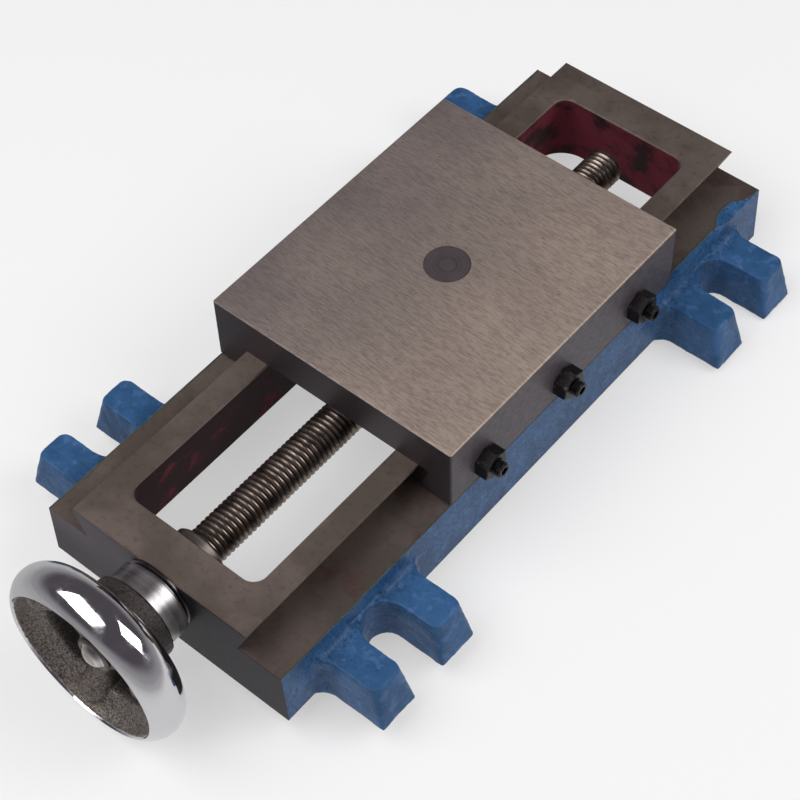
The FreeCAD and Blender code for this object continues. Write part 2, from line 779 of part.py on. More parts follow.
def build_handwheel():
    body = new_body("handwheel")
    tube = S["rim_tube_radius"]
    centre = S["rim_centre_radius"]
    bore = S["wheel_seat_radius"] + S["press_clearance"]
    edge = S["machined_edge"] * 2
    hub = new_sketch(body, "hub_section", "YZ_Plane")
    draw_outline(hub, [
        (hub_rear, bore), (hub_front, bore), (hub_front, S["hub_front_radius"] - edge * 2),
        (hub_front + edge * 2, S["hub_front_radius"]),
        (hub_rear - S["hub_rear_width"] * 2, S["hub_waist_radius"]),
        (hub_rear - S["hub_rear_width"], S["hub_rear_radius"] - edge),
        (hub_rear - S["hub_rear_width"] + edge, S["hub_rear_radius"]),
        (hub_rear, S["hub_rear_radius"])])
    revolve(body, "hub_turning", hub)
    spoke_middle = hub_front + S["spoke_set_back"] + S["spoke_depth"] / 2
    places = [
        ((bore + S["hub_front_radius"]) / 2, spoke_middle, S["spoke_width"], S["spoke_depth"]),
        (S["rim_inner_radius"] - S["knuckle_run"], spoke_middle, S["spoke_width"], S["spoke_depth"]),
        (S["rim_inner_radius"] + S["knuckle_width"] / 4, rim_middle, S["knuckle_width"], S["knuckle_depth"]),
        (S["rim_front_radius"], rim_middle, S["spoke_width"], S["spoke_depth"])]
    sections = []
    for index, (radius, middle, across, deep) in enumerate(places):
        sketch = new_sketch(body, "spoke_section_" + str(index), "XY_Plane", radius)
        draw_spoke_section(sketch, middle, across, deep)
        sections.append(sketch)
    spoke = loft(body, "AdditiveLoft", "spoke", sections)
    spokes = body.newObject("PartDesign::PolarPattern", "spokes")
    spokes.Originals = [spoke]
    spokes.Axis = (origin_part(body, "Y_Axis"), [""])
    spokes.Angle = 360.0
    bind(spokes, "Occurrences", S["spoke_count"])
    body.Tip = spokes
    doc.recompute()
    front_rise = root_of(tube * tube - (S["rim_front_radius"] - centre) * (S["rim_front_radius"] - centre))
    back_rise = root_of(tube * tube - (centre - S["rim_inner_radius"]) * (centre - S["rim_inner_radius"]))
    rim_front = rim_middle - front_rise
    lip_front = rim_front + S["rim_lip_depth"]
    lip = S["rim_lip_edge"]
    rim = new_sketch(body, "rim_section", "YZ_Plane")
    draw_outline(rim, [
        (rim_front, S["rim_front_radius"]),
        (rim_middle, centre + tube, tube, -1),
        (rim_middle + tube, centre, tube, -1),
        (rim_middle + back_rise, S["rim_inner_radius"], tube, -1),
        (lip_front + lip, S["rim_inner_radius"]),
        (lip_front, S["rim_inner_radius"] + lip),
        (rim_front + S["machined_edge"], S["rim_front_radius"] - S["rim_front_land"], S["dish_radius"], 1)])
    revolve(body, "rim_turning", rim)
    keyway = new_sketch(body, "hub_keyway_outline", "XY_Plane")
    half_key = S["key_width"] / 2 + S["press_clearance"]
    top = S["wheel_seat_radius"] + S["key_width"] / 2 + S["press_clearance"] * 2
    draw_rectangle(keyway, (-half_key, hub_front - edge), (half_key, hub_rear + edge))
    pocket_between(body, "hub_keyway", keyway, S["key_width"] / 2, top)
    put_on_screw(body)
    return body


def build_key():
    body = new_body("wheel_key")
    sketch = new_sketch(body, "key_outline", "XY_Plane", S["wheel_seat_radius"] - S["key_width"] / 2)
    key_rear = hub_rear - S["key_set_in"]
    half_key = S["key_width"] / 2
    draw_rectangle(sketch, (-half_key, key_rear - S["key_length"]), (half_key, key_rear))
    pad(body, "key_bar", sketch, S["key_width"])
    put_on_screw(body)
    return body


def build_wheel_washer():
    bore = S["wheel_screw_radius"] + S["journal_clearance"]
    return turned("wheel_washer", ring_profile(washer_front, hub_front, bore, S["wheel_washer_radius"],
                                               S["machined_edge"]))


def build_wheel_screw():
    """Round-head screw into the leadscrew's end, which clamps the wheel."""
    head = S["dome_radius"]
    rise = S["dome_height"]
    dome = (head * head + rise * rise) / (rise * 2)
    return turned("wheel_screw", [
        (washer_front - rise, ZERO), (washer_front, head, dome, -1),
        (washer_front, S["wheel_screw_radius"]),
        (screw_front_end + S["wheel_screw_length"], S["wheel_screw_radius"]),
        (screw_front_end + S["wheel_screw_length"], ZERO)])


def check_and_write(bodies):
    """Stop on a failed object or a bad solid, then write one file for each piece."""
    doc.recompute()
    for item in doc.Objects:
        if "Invalid" in item.State or "Error" in item.State:
            raise RuntimeError(item.Name + " failed: " + str(item.State))
    os.makedirs("parts", exist_ok=True)
    for body in bodies:
        shape = body.Shape
        if shape.isNull() or not shape.isValid() or len(shape.Solids) != 1:
            raise RuntimeError(body.Label + " isn't one valid solid")
        shape.exportStep("parts/" + body.Label + ".step")
        box = shape.BoundBox
        print(body.Label, round(shape.Volume, 1),
              [round(value, 2) for value in (box.XMin, box.YMin, box.ZMin, box.XMax, box.YMax, box.ZMax)])


pieces = [build_base(), build_table(), build_gib()]
for suffix, spot in zip(("front", "middle", "rear"), screw_places):
    pieces.append(build_gib_screw("gib_screw_" + suffix, spot))
    pieces.append(build_locknut("gib_locknut_" + suffix, spot))
pieces += [build_leadscrew(), build_leadscrew_nut(), build_bush(), build_inner_collar(), build_collar_pin(),
           build_thrust_washer(), build_thrust_collar(), build_set_screw(), build_handwheel(), build_key(),
           build_wheel_washer(), build_wheel_screw()]
check_and_write(pieces)
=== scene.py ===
import logging
import math
from collections.abc import Callable, Sequence
from dataclasses import dataclass
from enum import Enum
from typing import NamedTuple

import bmesh
import bpy
from mathutils import Matrix, Vector, noise


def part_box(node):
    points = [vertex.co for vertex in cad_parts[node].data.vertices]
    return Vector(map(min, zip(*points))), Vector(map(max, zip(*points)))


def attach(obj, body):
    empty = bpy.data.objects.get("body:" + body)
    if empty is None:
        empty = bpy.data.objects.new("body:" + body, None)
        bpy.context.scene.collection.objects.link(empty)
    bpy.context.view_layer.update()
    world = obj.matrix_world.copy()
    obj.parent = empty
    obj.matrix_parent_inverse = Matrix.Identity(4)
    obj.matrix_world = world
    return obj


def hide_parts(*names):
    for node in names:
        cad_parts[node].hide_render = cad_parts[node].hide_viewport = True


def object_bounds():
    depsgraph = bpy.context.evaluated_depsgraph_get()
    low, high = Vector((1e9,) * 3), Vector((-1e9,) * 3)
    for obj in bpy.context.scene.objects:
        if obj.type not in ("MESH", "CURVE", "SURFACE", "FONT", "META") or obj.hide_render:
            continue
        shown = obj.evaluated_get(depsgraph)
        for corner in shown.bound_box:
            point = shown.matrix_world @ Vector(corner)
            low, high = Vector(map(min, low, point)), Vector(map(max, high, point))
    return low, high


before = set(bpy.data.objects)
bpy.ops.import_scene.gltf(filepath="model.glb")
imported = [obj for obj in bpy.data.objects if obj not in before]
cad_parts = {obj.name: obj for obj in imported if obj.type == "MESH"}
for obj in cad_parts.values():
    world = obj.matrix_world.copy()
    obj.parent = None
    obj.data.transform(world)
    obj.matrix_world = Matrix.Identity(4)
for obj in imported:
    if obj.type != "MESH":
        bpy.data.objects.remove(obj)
CAD_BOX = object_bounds()

# Dresses a small dovetail cross slide: blue cast base, ground table, leadscrew and dished handwheel.
# Lengths are metres in the part's own frame: +Z up, +Y along the screw away from the handwheel,
# and +X the side with the gib screws.

MM = 0.001
SAME_POINT = 1e-7
SAME_CAD_POINT = 1e-6
log = logging.getLogger("cross_slide")

Triple = tuple[float, float, float]
Colour = Triple
Socket = bpy.types.NodeSocket
Value = Socket | float


class Body(Enum):
    """The three bodies that move against each other."""

    BASE = "base"
    TABLE = "table"
    SCREW = "screw"


class Station(Enum):
    """Where a gib screw sits along the table."""

    FRONT = "front"
    MIDDLE = "middle"
    REAR = "rear"


class Shading(Enum):
    """Angle in degrees below which an edge is shaded smooth."""

    MACHINED = 30.0
    SMALL_THREAD = 45.0
    THREAD = 50.0
    CAST = 80.0


class Grain(NamedTuple):
    """Cloud noise: cells per metre, octaves, and the strength of the finer octaves."""

    scale: float
    detail: float = 3.0
    rough: float = 0.55


class Fade(NamedTuple):
    """How a value turns into a mask: where it begins, where it is full, and its strength there."""

    begin: float
    full: float
    share: float = 1.0


class Range(NamedTuple):
    """What a value of 0 and a value of 1 stand for."""

    low: float
    high: float


class Nodes:
    """Adds nodes to the tree of a material or of the world."""

    def __init__(self, tree: bpy.types.NodeTree, place: str) -> None:
        """Start with an empty tree.

        Args:
            tree: The tree.
            place: Name of the texture coordinate that tells where a point is.
        """
        tree.nodes.clear()
        self.tree = tree
        self.where = self.add("ShaderNodeTexCoord").outputs[place]

    def add(self, kind: str) -> bpy.types.Node:
        """Add a node of a kind."""
        return self.tree.nodes.new(kind)

    def wire(self, source: Value | Colour, target: Socket) -> None:
        """Link a socket to another, or set a constant on it.

        Args:
            source: A socket, a number or a colour.
            target: The socket that receives it.
        """
        if isinstance(source, Socket):
            self.tree.links.new(source, target)
        elif isinstance(source, tuple):
            target.default_value = (*source, 1.0) if len(target.default_value) == 4 else source
        else:
            target.default_value = source

    def sum(self, operation: str, first: Value, second: Value = 0.0) -> Socket:
        """One step of arithmetic.

        Args:
            operation: Name of the math node's operation.
            first: Left value.
            second: Right value.

        Returns:
            The result.
        """
        node = self.add("ShaderNodeMath")
        node.operation = operation
        self.wire(first, node.inputs[0])
        self.wire(second, node.inputs[1])
        return node.outputs[0]

    def axes(self) -> tuple[Socket, Socket, Socket]:
        """The three coordinates of the point."""
        node = self.add("ShaderNodeSeparateXYZ")
        self.wire(self.where, node.inputs[0])
        return node.outputs[0], node.outputs[1], node.outputs[2]

    def step(self, value: Value, low: float, high: float) -> Socket:
        """A soft step: 0 below low and 1 above high, or the reverse when low is above high."""
        node = self.add("ShaderNodeMapRange")
        node.interpolation_type = "SMOOTHSTEP"
        turned = low > high
        self.wire(value, node.inputs["Value"])
        node.inputs["From Min"].default_value = high if turned else low
        node.inputs["From Max"].default_value = low if turned else high
        node.inputs["To Min"].default_value = 1.0 if turned else 0.0
        node.inputs["To Max"].default_value = 0.0 if turned else 1.0
        return node.outputs["Result"]

    def mix(self, share: Value, first: Value | Colour, second: Value | Colour) -> Socket:
        """Colour between two, second where share is 1."""
        node = self.add("ShaderNodeMix")
        node.data_type = "RGBA"
        self.wire(share, node.inputs["Factor"])
        self.wire(first, node.inputs[6])
        self.wire(second, node.inputs[7])
        return node.outputs[2]

    def shine(self, kind: str, colour: Value | Colour, strength: Value = 1.0) -> Socket:
        """A shader that gives light of its own: an emission, or the world's background."""
        node = self.add(kind)
        self.wire(colour, node.inputs["Color"])
        self.wire(strength, node.inputs["Strength"])
        return node.outputs[0]

    def blend(self, share: Socket, first: Socket, second: Socket) -> Socket:
        """Shader between two, second where share is 1."""
        node = self.add("ShaderNodeMixShader")
        for source, target in zip((share, first, second), node.inputs):
            self.wire(source, target)
        return node.outputs[0]

    def rays(self) -> tuple[Socket, Socket]:
        """Masks of what the eye sees straight, and of what it sees mirrored or through glass."""
        path = self.add("ShaderNodeLightPath").outputs
        mirrored = self.sum("MAXIMUM", path["Is Glossy Ray"], path["Is Transmission Ray"])
        return path["Is Camera Ray"], mirrored


class Bench(Nodes):
    """Builds one material on a principled surface."""

    def __init__(self, name: str) -> None:
        """Start a material with a bare surface.

        Args:
            name: The material's name.
        """
        self.material = bpy.data.materials.new(name)
        self.material.use_nodes = True
        super().__init__(self.material.node_tree, "Object")
        self.output = self.add("ShaderNodeOutputMaterial")
        self.skin = self.add("ShaderNodeBsdfPrincipled")
        self.wire(self.skin.outputs["BSDF"], self.output.inputs["Surface"])

    def coat(self, colour: Value | Colour, metallic: Value, roughness: Value,
             normal: Socket | None = None, specular: float = 0.5) -> bpy.types.Material:
        """Wire the principled surface.

        Args:
            colour: Its colour.
            metallic: How far it is metal.
            roughness: How rough it is.
            normal: Its relief.
            specular: Strength of the reflection where it isn't metal.

        Returns:
            The finished material.
        """
        for name, source in (("Base Color", colour), ("Metallic", metallic), ("Roughness", roughness),
                             ("Normal", normal), ("Specular IOR Level", specular)):
            if source is not None:
                self.wire(source, self.skin.inputs[name])
        return self.material

    def scaled(self, scale: Triple, vector: Socket) -> Socket:
        """Coordinates stretched along each axis, for grain that runs one way."""
        node = self.add("ShaderNodeVectorMath")
        node.operation = "MULTIPLY"
        self.wire(vector, node.inputs[0])
        node.inputs[1].default_value = scale
        return node.outputs[0]

    def bent(self, amount: float, scale: float) -> Socket:
        """Coordinates pushed about by soft noise.

        Args:
            amount: How far the points move, in metres.
            scale: Noise cells per metre.

        Returns:
            The bent coordinates.
        """
        cloud = self.add("ShaderNodeTexNoise")
        self.wire(self.where, cloud.inputs["Vector"])
        cloud.inputs["Scale"].default_value = scale
        push = self.add("ShaderNodeVectorMath")
        push.operation = "MULTIPLY_ADD"
        self.wire(cloud.outputs["Color"], push.inputs[0])
        push.inputs[1].default_value = (amount, amount, amount)
        self.wire(self.where, push.inputs[2])
        return push.outputs[0]

    def grain(self, kind: Grain, vector: Socket | None = None) -> Socket:
        """Cloud noise between 0 and 1, at the point's own coordinates by default."""
        node = self.add("ShaderNodeTexNoise")
        self.wire(vector or self.where, node.inputs["Vector"])
        for name, value in (("Scale", kind.scale), ("Detail", kind.detail), ("Roughness", kind.rough)):
            node.inputs[name].default_value = value
        return node.outputs["Fac"]

    def cells(self, scale: float, vector: Socket) -> Socket:
        """Distance to the nearest of scattered points, for pits."""
        node = self.add("ShaderNodeTexVoronoi")
        self.wire(vector, node.inputs["Vector"])
        node.inputs["Scale"].default_value = scale
        return node.outputs["Distance"]

    def fade(self, value: Value, fade: Fade) -> Socket:
        """Mask of where a value has passed through a fade, at the fade's strength."""
        mask = self.step(value, fade.begin, fade.full)
        return mask if fade.share == 1.0 else self.both(mask, fade.share)

    def span(self, value: Value, ends: Range) -> Socket:
        """A value between 0 and 1 turned into one within a range."""
        node = self.add("ShaderNodeMapRange")
        self.wire(value, node.inputs["Value"])
        node.inputs["To Min"].default_value = ends.low
        node.inputs["To Max"].default_value = ends.high
        return node.outputs["Result"]

    def between(self, share: Value, first: Value, second: Value) -> Socket:
        """Number between two, second where share is 1."""
        node = self.add("ShaderNodeMix")
        node.data_type = "FLOAT"
        self.wire(share, node.inputs[0])
        self.wire(first, node.inputs[2])
        self.wire(second, node.inputs[3])
        return node.outputs[0]

    def both(self, first: Value, second: Value) -> Socket:
        """Product of two masks."""
        return self.sum("MULTIPLY", first, second)

    def less(self, mask: Value) -> Socket:
        """One minus a mask."""
        return self.sum("SUBTRACT", 1.0, mask)

    def bump(self, height: Socket, distance: float, below: Socket | None = None) -> Socket:
        """Relief in the surface's normal.

        Args:
            height: Height between 0 and 1.
            distance: Height in metres where the value is 1.
            below: Normal from a coarser relief.

        Returns:
            The bent normal.
        """
        node = self.add("ShaderNodeBump")
        node.inputs["Distance"].default_value = distance
        self.wire(height, node.inputs["Height"])
        if below is not None:
            self.wire(below, node.inputs["Normal"])
        return node.outputs["Normal"]

    def distance(self, first: Socket, first_middle: float, second: Socket, second_middle: float) -> Socket:
        """Distance from a line, by the two coordinates that run across it."""
        one = self.sum("SUBTRACT", first, first_middle)
        other = self.sum("SUBTRACT", second, second_middle)
        return self.sum("SQRT", self.sum("ADD", self.both(one, one), self.both(other, other)))

    def radius(self, centre: Vector) -> Socket:
        """Distance of the surface point from the Y axis through a centre."""
        across, _, up = self.axes()
        return self.distance(across, centre.x, up, centre.z)


@dataclass(frozen=True)
class CastingFinish:
    """Blue paint over a rough casting, with its machined faces bare and its hollow in red oxide.

    The places of the three finishes are those of the base: everything from the ledge up and both
    end faces are machined, and the walls of the hollow carry the oxide. On the right ledge, near
    the rear end, the paint reaches further in, and furthest in one tongue. The right ledge and the
    right side of the front end face carry painted shade, and the oxide is painted lighter towards
    the rear wall, as painted light.
    """

    ledge: float = 23.75 * MM
    deck: float = 35.25 * MM
    half_length: float = 128.0 * MM
    half_edge: float = 49.7 * MM
    half_slot: float = 27.0 * MM
    half_opening: float = 113.0 * MM
    cavity_flare: float = 7.5 * MM
    skin_depth: float = 0.2 * MM
    chamfer: float = 0.6 * MM
    wall_fade: Fade = Fade(-1.0 * MM, -0.6 * MM)
    edge_blur: float = 0.12 * MM
    edge_line: Fade = Fade(0.75 * MM, 0.15 * MM, 0.75)
    edge_ragged: Range = Range(-0.9 * MM, 1.5 * MM)
    border_rise: Fade = Fade(62.0 * MM, 71.0 * MM, 1.9 * MM)
    border_fall: Fade = Fade(128.0 * MM, 117.0 * MM)
    tongue_middle: float = 112.5 * MM
    tongue: Fade = Fade(9.0 * MM, 2.7 * MM, 3.2 * MM)
    ragged: Grain = Grain(260.0, 3.0, 0.6)

    paint: Colour = (0.031, 0.096, 0.222)
    paint_shade: Colour = (0.019, 0.066, 0.155)
    paint_worn: Colour = (0.075, 0.160, 0.330)
    paint_edge: Colour = (0.075, 0.085, 0.050)
    paint_pit: Colour = (0.006, 0.018, 0.050)
    paint_rough: Range = Range(0.24, 0.50)
    lumps: Grain = Grain(90.0, 4.0)
    speckle: Grain = Grain(900.0, 4.0, 0.7)
    grit: Grain = Grain(2600.0, 2.0, 0.6)
    shaded: Fade = Fade(0.36, 0.64)
    blotches: Grain = Grain(240.0, 4.0, 0.6)
    blotched: Fade = Fade(0.52, 0.66, 0.45)
    chipped: Fade = Fade(0.60, 0.74, 0.7)
    pit_cells: float = 520.0
    pit_bend: tuple[float, float] = (1.5 * MM, 700.0)
    pit_size: Fade = Fade(0.16, 0.04)
    pitted: Fade = Fade(0.50, 0.60)
    root_start: float = 10.0 * MM
    root_full: float = 2.0 * MM
    sooty: Fade = Fade(0.50, 0.62, 0.65)

    iron: Colour = (0.172, 0.136, 0.118)
    iron_stain: Colour = (0.118, 0.092, 0.077)
    iron_fleck_and_shade: Colour = (0.050, 0.040, 0.040)
    iron_rough: Range = Range(0.40, 0.56)
    iron_metal: float = 0.55
    cloud: Grain = Grain(34.0, 4.0, 0.6)
    stained: Fade = Fade(0.38, 0.62)
    fine: Grain = Grain(420.0, 3.0, 0.6)
    flecked: Fade = Fade(0.52, 0.70, 0.30)
    ledge_top: float = 3.0 * MM
    ledge_full: float = 1.0 * MM
    right_ledge_painted_shade: float = 0.42
    rust: Colour = (0.085, 0.030, 0.022)
    rust_grain: Grain = Grain(85.0, 3.0, 0.6)
    rusty: Fade = Fade(0.54, 0.66, 0.40)
    end_iron: Colour = (0.105, 0.090, 0.105)
    end_shade: Colour = (0.060, 0.050, 0.058)
    end_painted_shade: Colour = (0.022, 0.018, 0.023)
    end_depth: float = 16.0 * MM
    end_cloud: Fade = Fade(0.45, 0.65, 0.4)
    end_right: Fade = Fade(-20.0 * MM, 20.0 * MM)

    oxide: Colour = (0.022, 0.005, 0.008)
    oxide_bright: Colour = (0.165, 0.021, 0.038)
    oxide_grain: Grain = Grain(70.0, 4.0, 0.6)
    oxide_fade: Fade = Fade(0.55, 0.72)
    oxide_rough: float = 0.85
    rear_wall_painted_light: Fade = Fade(0.0, 72.0 * MM, 0.17)

    specular: float = 0.20
    relief: tuple[float, ...] = (0.15 * MM, 0.13 * MM, 0.05 * MM)
    relief_on_iron: tuple[float, ...] = (0.0, 0.10, 0.25)

    def border(self, bench: Bench, x: Socket, y: Socket) -> Socket:
        """How far the paint reaches in over the ledge."""
        tongue = bench.fade(bench.sum("ABSOLUTE", bench.sum("SUBTRACT", y, self.tongue_middle)), self.tongue)
        border = bench.sum("ADD", bench.fade(y, self.border_rise), tongue)
        border = bench.both(border, bench.step(x, 0.0, self.half_edge))
        border = bench.both(border, bench.fade(y, self.border_fall))
        return bench.sum("ADD", border, bench.span(bench.grain(self.ragged), self.edge_ragged))

    def places(self, bench: Bench) -> tuple[Socket, Socket, Socket, Socket]:
        """Where the machined faces, the end faces and the hollow's walls are.

        Args:
            bench: The material being built.

        Returns:
            Masks of bare iron, of end faces, of oxide and of the paint's edge.
        """
        x, y, z = bench.axes()
        far_x = bench.sum("ABSOLUTE", x)
        far_y = bench.sum("ABSOLUTE", y)
        inside = bench.sum("SUBTRACT", self.half_edge, self.border(bench, x, y))
        inwards = bench.sum("SUBTRACT", inside, far_x)
        high = bench.step(z, self.ledge - self.skin_depth, self.ledge - self.skin_depth / 2)
        on_ledge = bench.both(high, bench.step(inwards, -self.edge_blur, self.edge_blur))
        paint_line = bench.both(high, bench.fade(bench.sum("ABSOLUTE", inwards), self.edge_line))
        under = bench.step(z, self.skin_depth, self.skin_depth / 2)
        bare = bench.sum("MAXIMUM", on_ledge, under)
        ends = bench.step(far_y, self.half_length - self.skin_depth, self.half_length - self.skin_depth / 2)
        rise = bench.sum("DIVIDE", bench.sum("SUBTRACT", self.deck, z), self.deck / self.cavity_flare)
        wall = bench.step(z, self.deck - self.chamfer, self.deck - self.chamfer - self.skin_depth)
        for half, far in ((self.half_slot, far_x), (self.half_opening, far_y)):
            depth = bench.sum("SUBTRACT", bench.sum("ADD", rise, half), far)
            wall = bench.both(wall, bench.fade(depth, self.wall_fade))
        return bare, ends, wall, paint_line

    def iron_colour(self, bench: Bench, ends: Socket) -> Socket:
        """Colour of the machined faces: stained brown-grey, rusty along the right ledge.

        The end faces are a duller grey, darker towards the bottom, and the front one carries painted
        shade towards the right. The right ledge carries painted shade as well as rust.

        Args:
            bench: The material being built.
            ends: Mask of the end faces.

        Returns:
            The colour.
        """
        x, y, z = bench.axes()
        cloud = bench.grain(self.cloud)
        iron = bench.mix(bench.fade(cloud, self.stained), self.iron_stain, self.iron)
        iron = bench.mix(bench.fade(bench.grain(self.fine), self.flecked), iron, self.iron_fleck_and_shade)
        # Painted shade: the right ledge is darkened towards the dark iron colour; the rust patches on it are
        # real.
        ledge = bench.step(z, self.ledge + self.ledge_top, self.ledge + self.ledge_full)
        right = bench.both(ledge, bench.step(x, 0.0, self.half_edge / 2))
        iron = bench.mix(bench.both(right, self.right_ledge_painted_shade), iron, self.iron_fleck_and_shade)
        patches = bench.both(right, bench.fade(bench.grain(self.rust_grain), self.rusty))
        iron = bench.mix(patches, iron, self.rust)
        sunk = bench.step(z, self.ledge, self.ledge - self.end_depth)
        face = bench.mix(sunk, self.end_iron, self.end_shade)
        face = bench.mix(bench.fade(cloud, self.end_cloud), face, self.end_shade)
        # Painted shade: the front end face darkens towards the right.
        front_right_painted_shade = bench.both(bench.fade(x, self.end_right), bench.step(y, 0.0, -self.half_length))
        return bench.mix(ends, iron, bench.mix(front_right_painted_shade, face, self.end_painted_shade))

    def paint_colour(self, bench: Bench, lumps: Socket, speckle: Socket) -> Socket:
        """Colour of the paint: blotched and speckled, dark in the pits and sooty close to the sides.

        Args:
            bench: The material being built.
            lumps: Coarse noise.
            speckle: Fine noise.

        Returns:
            The colour.
        """
        paint = bench.mix(bench.fade(lumps, self.shaded), self.paint_shade, self.paint)
        paint = bench.mix(bench.fade(bench.grain(self.blotches), self.blotched), paint, self.paint_worn)
        paint = bench.mix(bench.fade(speckle, self.chipped), paint, self.paint_worn)
        pits = bench.fade(bench.cells(self.pit_cells, bench.bent(*self.pit_bend)), self.pit_size)
        paint = bench.mix(bench.both(pits, bench.fade(lumps, self.pitted)), paint, self.paint_pit)
        far_x = bench.sum("ABSOLUTE", bench.axes()[0])
        root = bench.step(far_x, self.half_edge + self.root_start, self.half_edge + self.root_full)
        return bench.mix(bench.both(root, bench.fade(speckle, self.sooty)), paint, self.paint_pit)

    def build(self) -> bpy.types.Material:
        """Make the material."""
        bench = Bench("blue_painted_casting")
        bare, ends, wall, paint_line = self.places(bench)
        lumps, speckle, grit = (bench.grain(kind) for kind in (self.lumps, self.speckle, self.grit))
        # Painted light: the oxide runs brighter towards the rear wall, on top of its random tone.
        red_and_rear_light = bench.sum("ADD", bench.grain(self.oxide_grain), bench.fade(bench.axes()[1], self.rear_wall_painted_light))
        oxide = bench.mix(bench.fade(red_and_rear_light, self.oxide_fade), self.oxide, self.oxide_bright)
        metal = bench.sum("MAXIMUM", bare, ends)
        solid = bench.both(metal, bench.less(wall))
        colour = bench.mix(metal, self.paint_colour(bench, lumps, speckle), self.iron_colour(bench, ends))
        colour = bench.mix(paint_line, colour, self.paint_edge)
        colour = bench.mix(wall, colour, oxide)
        iron_rough = bench.span(speckle, self.iron_rough)
        rough = bench.between(solid, bench.span(speckle, self.paint_rough), iron_rough)
        rough = bench.between(wall, rough, self.oxide_rough)
        normal = None
        for cloud, height, on_iron in zip((lumps, speckle, grit), self.relief, self.relief_on_iron):
            normal = bench.bump(bench.both(cloud, bench.between(solid, 1.0, on_iron)), height, normal)
        return bench.coat(colour, bench.both(solid, self.iron_metal), rough, normal, self.specular)


@dataclass(frozen=True)
class GroundTopFinish:
    """Cast iron block, ground on top with straight marks along X, milled and darker on its sides."""

    top: float
    front: float
    half_width: float = 50.0 * MM
    top_depth: tuple[float, float] = (0.7 * MM, 0.4 * MM)
    front_depth: tuple[float, float] = (0.4 * MM, 0.2 * MM)
    ground: Colour = (0.500, 0.397, 0.328)
    ground_left_painted_shade: Colour = (0.222, 0.186, 0.178)
    ground_rough: Range = Range(0.42, 0.54)
    painted_light_to_right: float = 0.8
    bend: tuple[float, float] = (1.4 * MM, 120.0)
    cloud: Grain = Grain(26.0, 4.0, 0.6)
    warm_cloud: Fade = Fade(0.36, 0.66, 0.2)
    dash: Colour = (0.085, 0.066, 0.058)
    marks: Grain = Grain(280.0, 3.0, 0.62)
    marks_stretch: Triple = (1.0, 9.0, 1.0)
    marked: Fade = Fade(0.58, 0.38, 0.36)
    marks_relief: float = 0.035 * MM
    hair: Grain = Grain(420.0, 2.0, 0.5)
    hair_stretch: Triple = (1.0, 7.0, 1.0)
    haired: Fade = Fade(0.38, 0.28, 0.55)
    side: Colour = (0.120, 0.104, 0.114)
    side_dark: Colour = (0.062, 0.053, 0.060)
    side_rough: Range = Range(0.38, 0.58)
    side_cloud: Fade = Fade(0.45, 0.65, 0.5)
    front_face_painted_shade: Colour = (0.048, 0.036, 0.041)
    front_shade_share: float = 0.75
    mill: Grain = Grain(60.0, 3.0, 0.6)
    mill_stretch: Triple = (5.0, 5.0, 22.0)
    milled: Fade = Fade(0.35, 0.65)
    fine_relief: float = 0.02 * MM
    metal: float = 0.55
    specular: float = 0.35

    def build(self) -> bpy.types.Material:
        """Make the material."""
        bench = Bench("ground_cast_iron")
        x, y, z = bench.axes()
        upper = bench.step(z, *(self.top - depth for depth in self.top_depth))
        facing = bench.step(y, *(self.front + depth for depth in self.front_depth))
        wavy = bench.bent(*self.bend)
        marks = bench.grain(self.marks, bench.scaled(self.marks_stretch, wavy))
        hair = bench.grain(self.hair, bench.scaled(self.hair_stretch, wavy))
        mill = bench.grain(self.mill, bench.scaled(self.mill_stretch, bench.where))
        cloud = bench.grain(self.cloud)
        # Painted light: the ground top runs from a shaded colour on the left to a lit one on the right, with
        # random cloud added.
        across = bench.sum("ADD", bench.both(x, 0.5 / self.half_width), 0.5)
        painted_light_and_tone = bench.sum("ADD", bench.both(across, self.painted_light_to_right), bench.fade(cloud, self.warm_cloud))
        ground = bench.mix(painted_light_and_tone, self.ground_left_painted_shade, self.ground)
        ground = bench.mix(bench.fade(marks, self.marked), ground, self.dash)
        ground = bench.mix(bench.fade(hair, self.haired), ground, self.dash)
        side = bench.mix(bench.fade(mill, self.milled), self.side_dark, self.side)
        side = bench.mix(bench.fade(cloud, self.side_cloud), side, self.side_dark)
        # Painted shade: the front face is darker than the other sides.
        side = bench.mix(bench.both(facing, self.front_shade_share), side, self.front_face_painted_shade)
        rough = bench.between(upper, bench.span(mill, self.side_rough), bench.span(marks, self.ground_rough))
        lines = bench.bump(bench.both(marks, upper), self.marks_relief)
        fine = bench.bump(bench.between(upper, mill, hair), self.fine_relief, lines)
        return bench.coat(bench.mix(upper, side, ground), self.metal, rough, fine, self.specular)


@dataclass(frozen=True)
class TurnedFinish:
    """Steel or iron with fine rings about an axis along Y, or about the upright when the piece stands."""

    name: str
    bright: Colour
    dark: Colour
    upright: bool = False
    ring_scale: float = 900.0
    rough: Range = Range(0.22, 0.42)
    metal: float = 1.0
    relief: float = 0.03 * MM
    line: Grain = Grain(100.0, 2.0, 0.6)
    cloud: Grain = Grain(160.0, 4.0, 0.6)
    line_share: float = 0.6
    contrast: Fade = Fade(0.36, 0.64)

    def build(self, centre: Vector) -> bpy.types.Material:
        """Make the material, with its rings about a centre."""
        bench = Bench(self.name)
        x, y, z = bench.axes()
        if self.upright:
            along, distance = z, bench.distance(x, centre.x, y, centre.y)
        else:
            along, distance = y, bench.distance(x, centre.x, z, centre.z)
        rings = bench.add("ShaderNodeCombineXYZ")
        for index, source in enumerate((distance, along)):
            bench.wire(bench.both(source, self.ring_scale / self.line.scale), rings.inputs[index])
        lines = bench.grain(self.line, rings.outputs[0])
        cloud = bench.grain(self.cloud)
        tint = bench.sum("ADD", bench.both(lines, self.line_share), bench.both(cloud, 1.0 - self.line_share))
        colour = bench.mix(bench.fade(tint, self.contrast), self.dark, self.bright)
        normal = bench.bump(lines, self.relief, bench.bump(cloud, self.relief))
        return bench.coat(colour, self.metal, bench.span(tint, self.rough), normal)


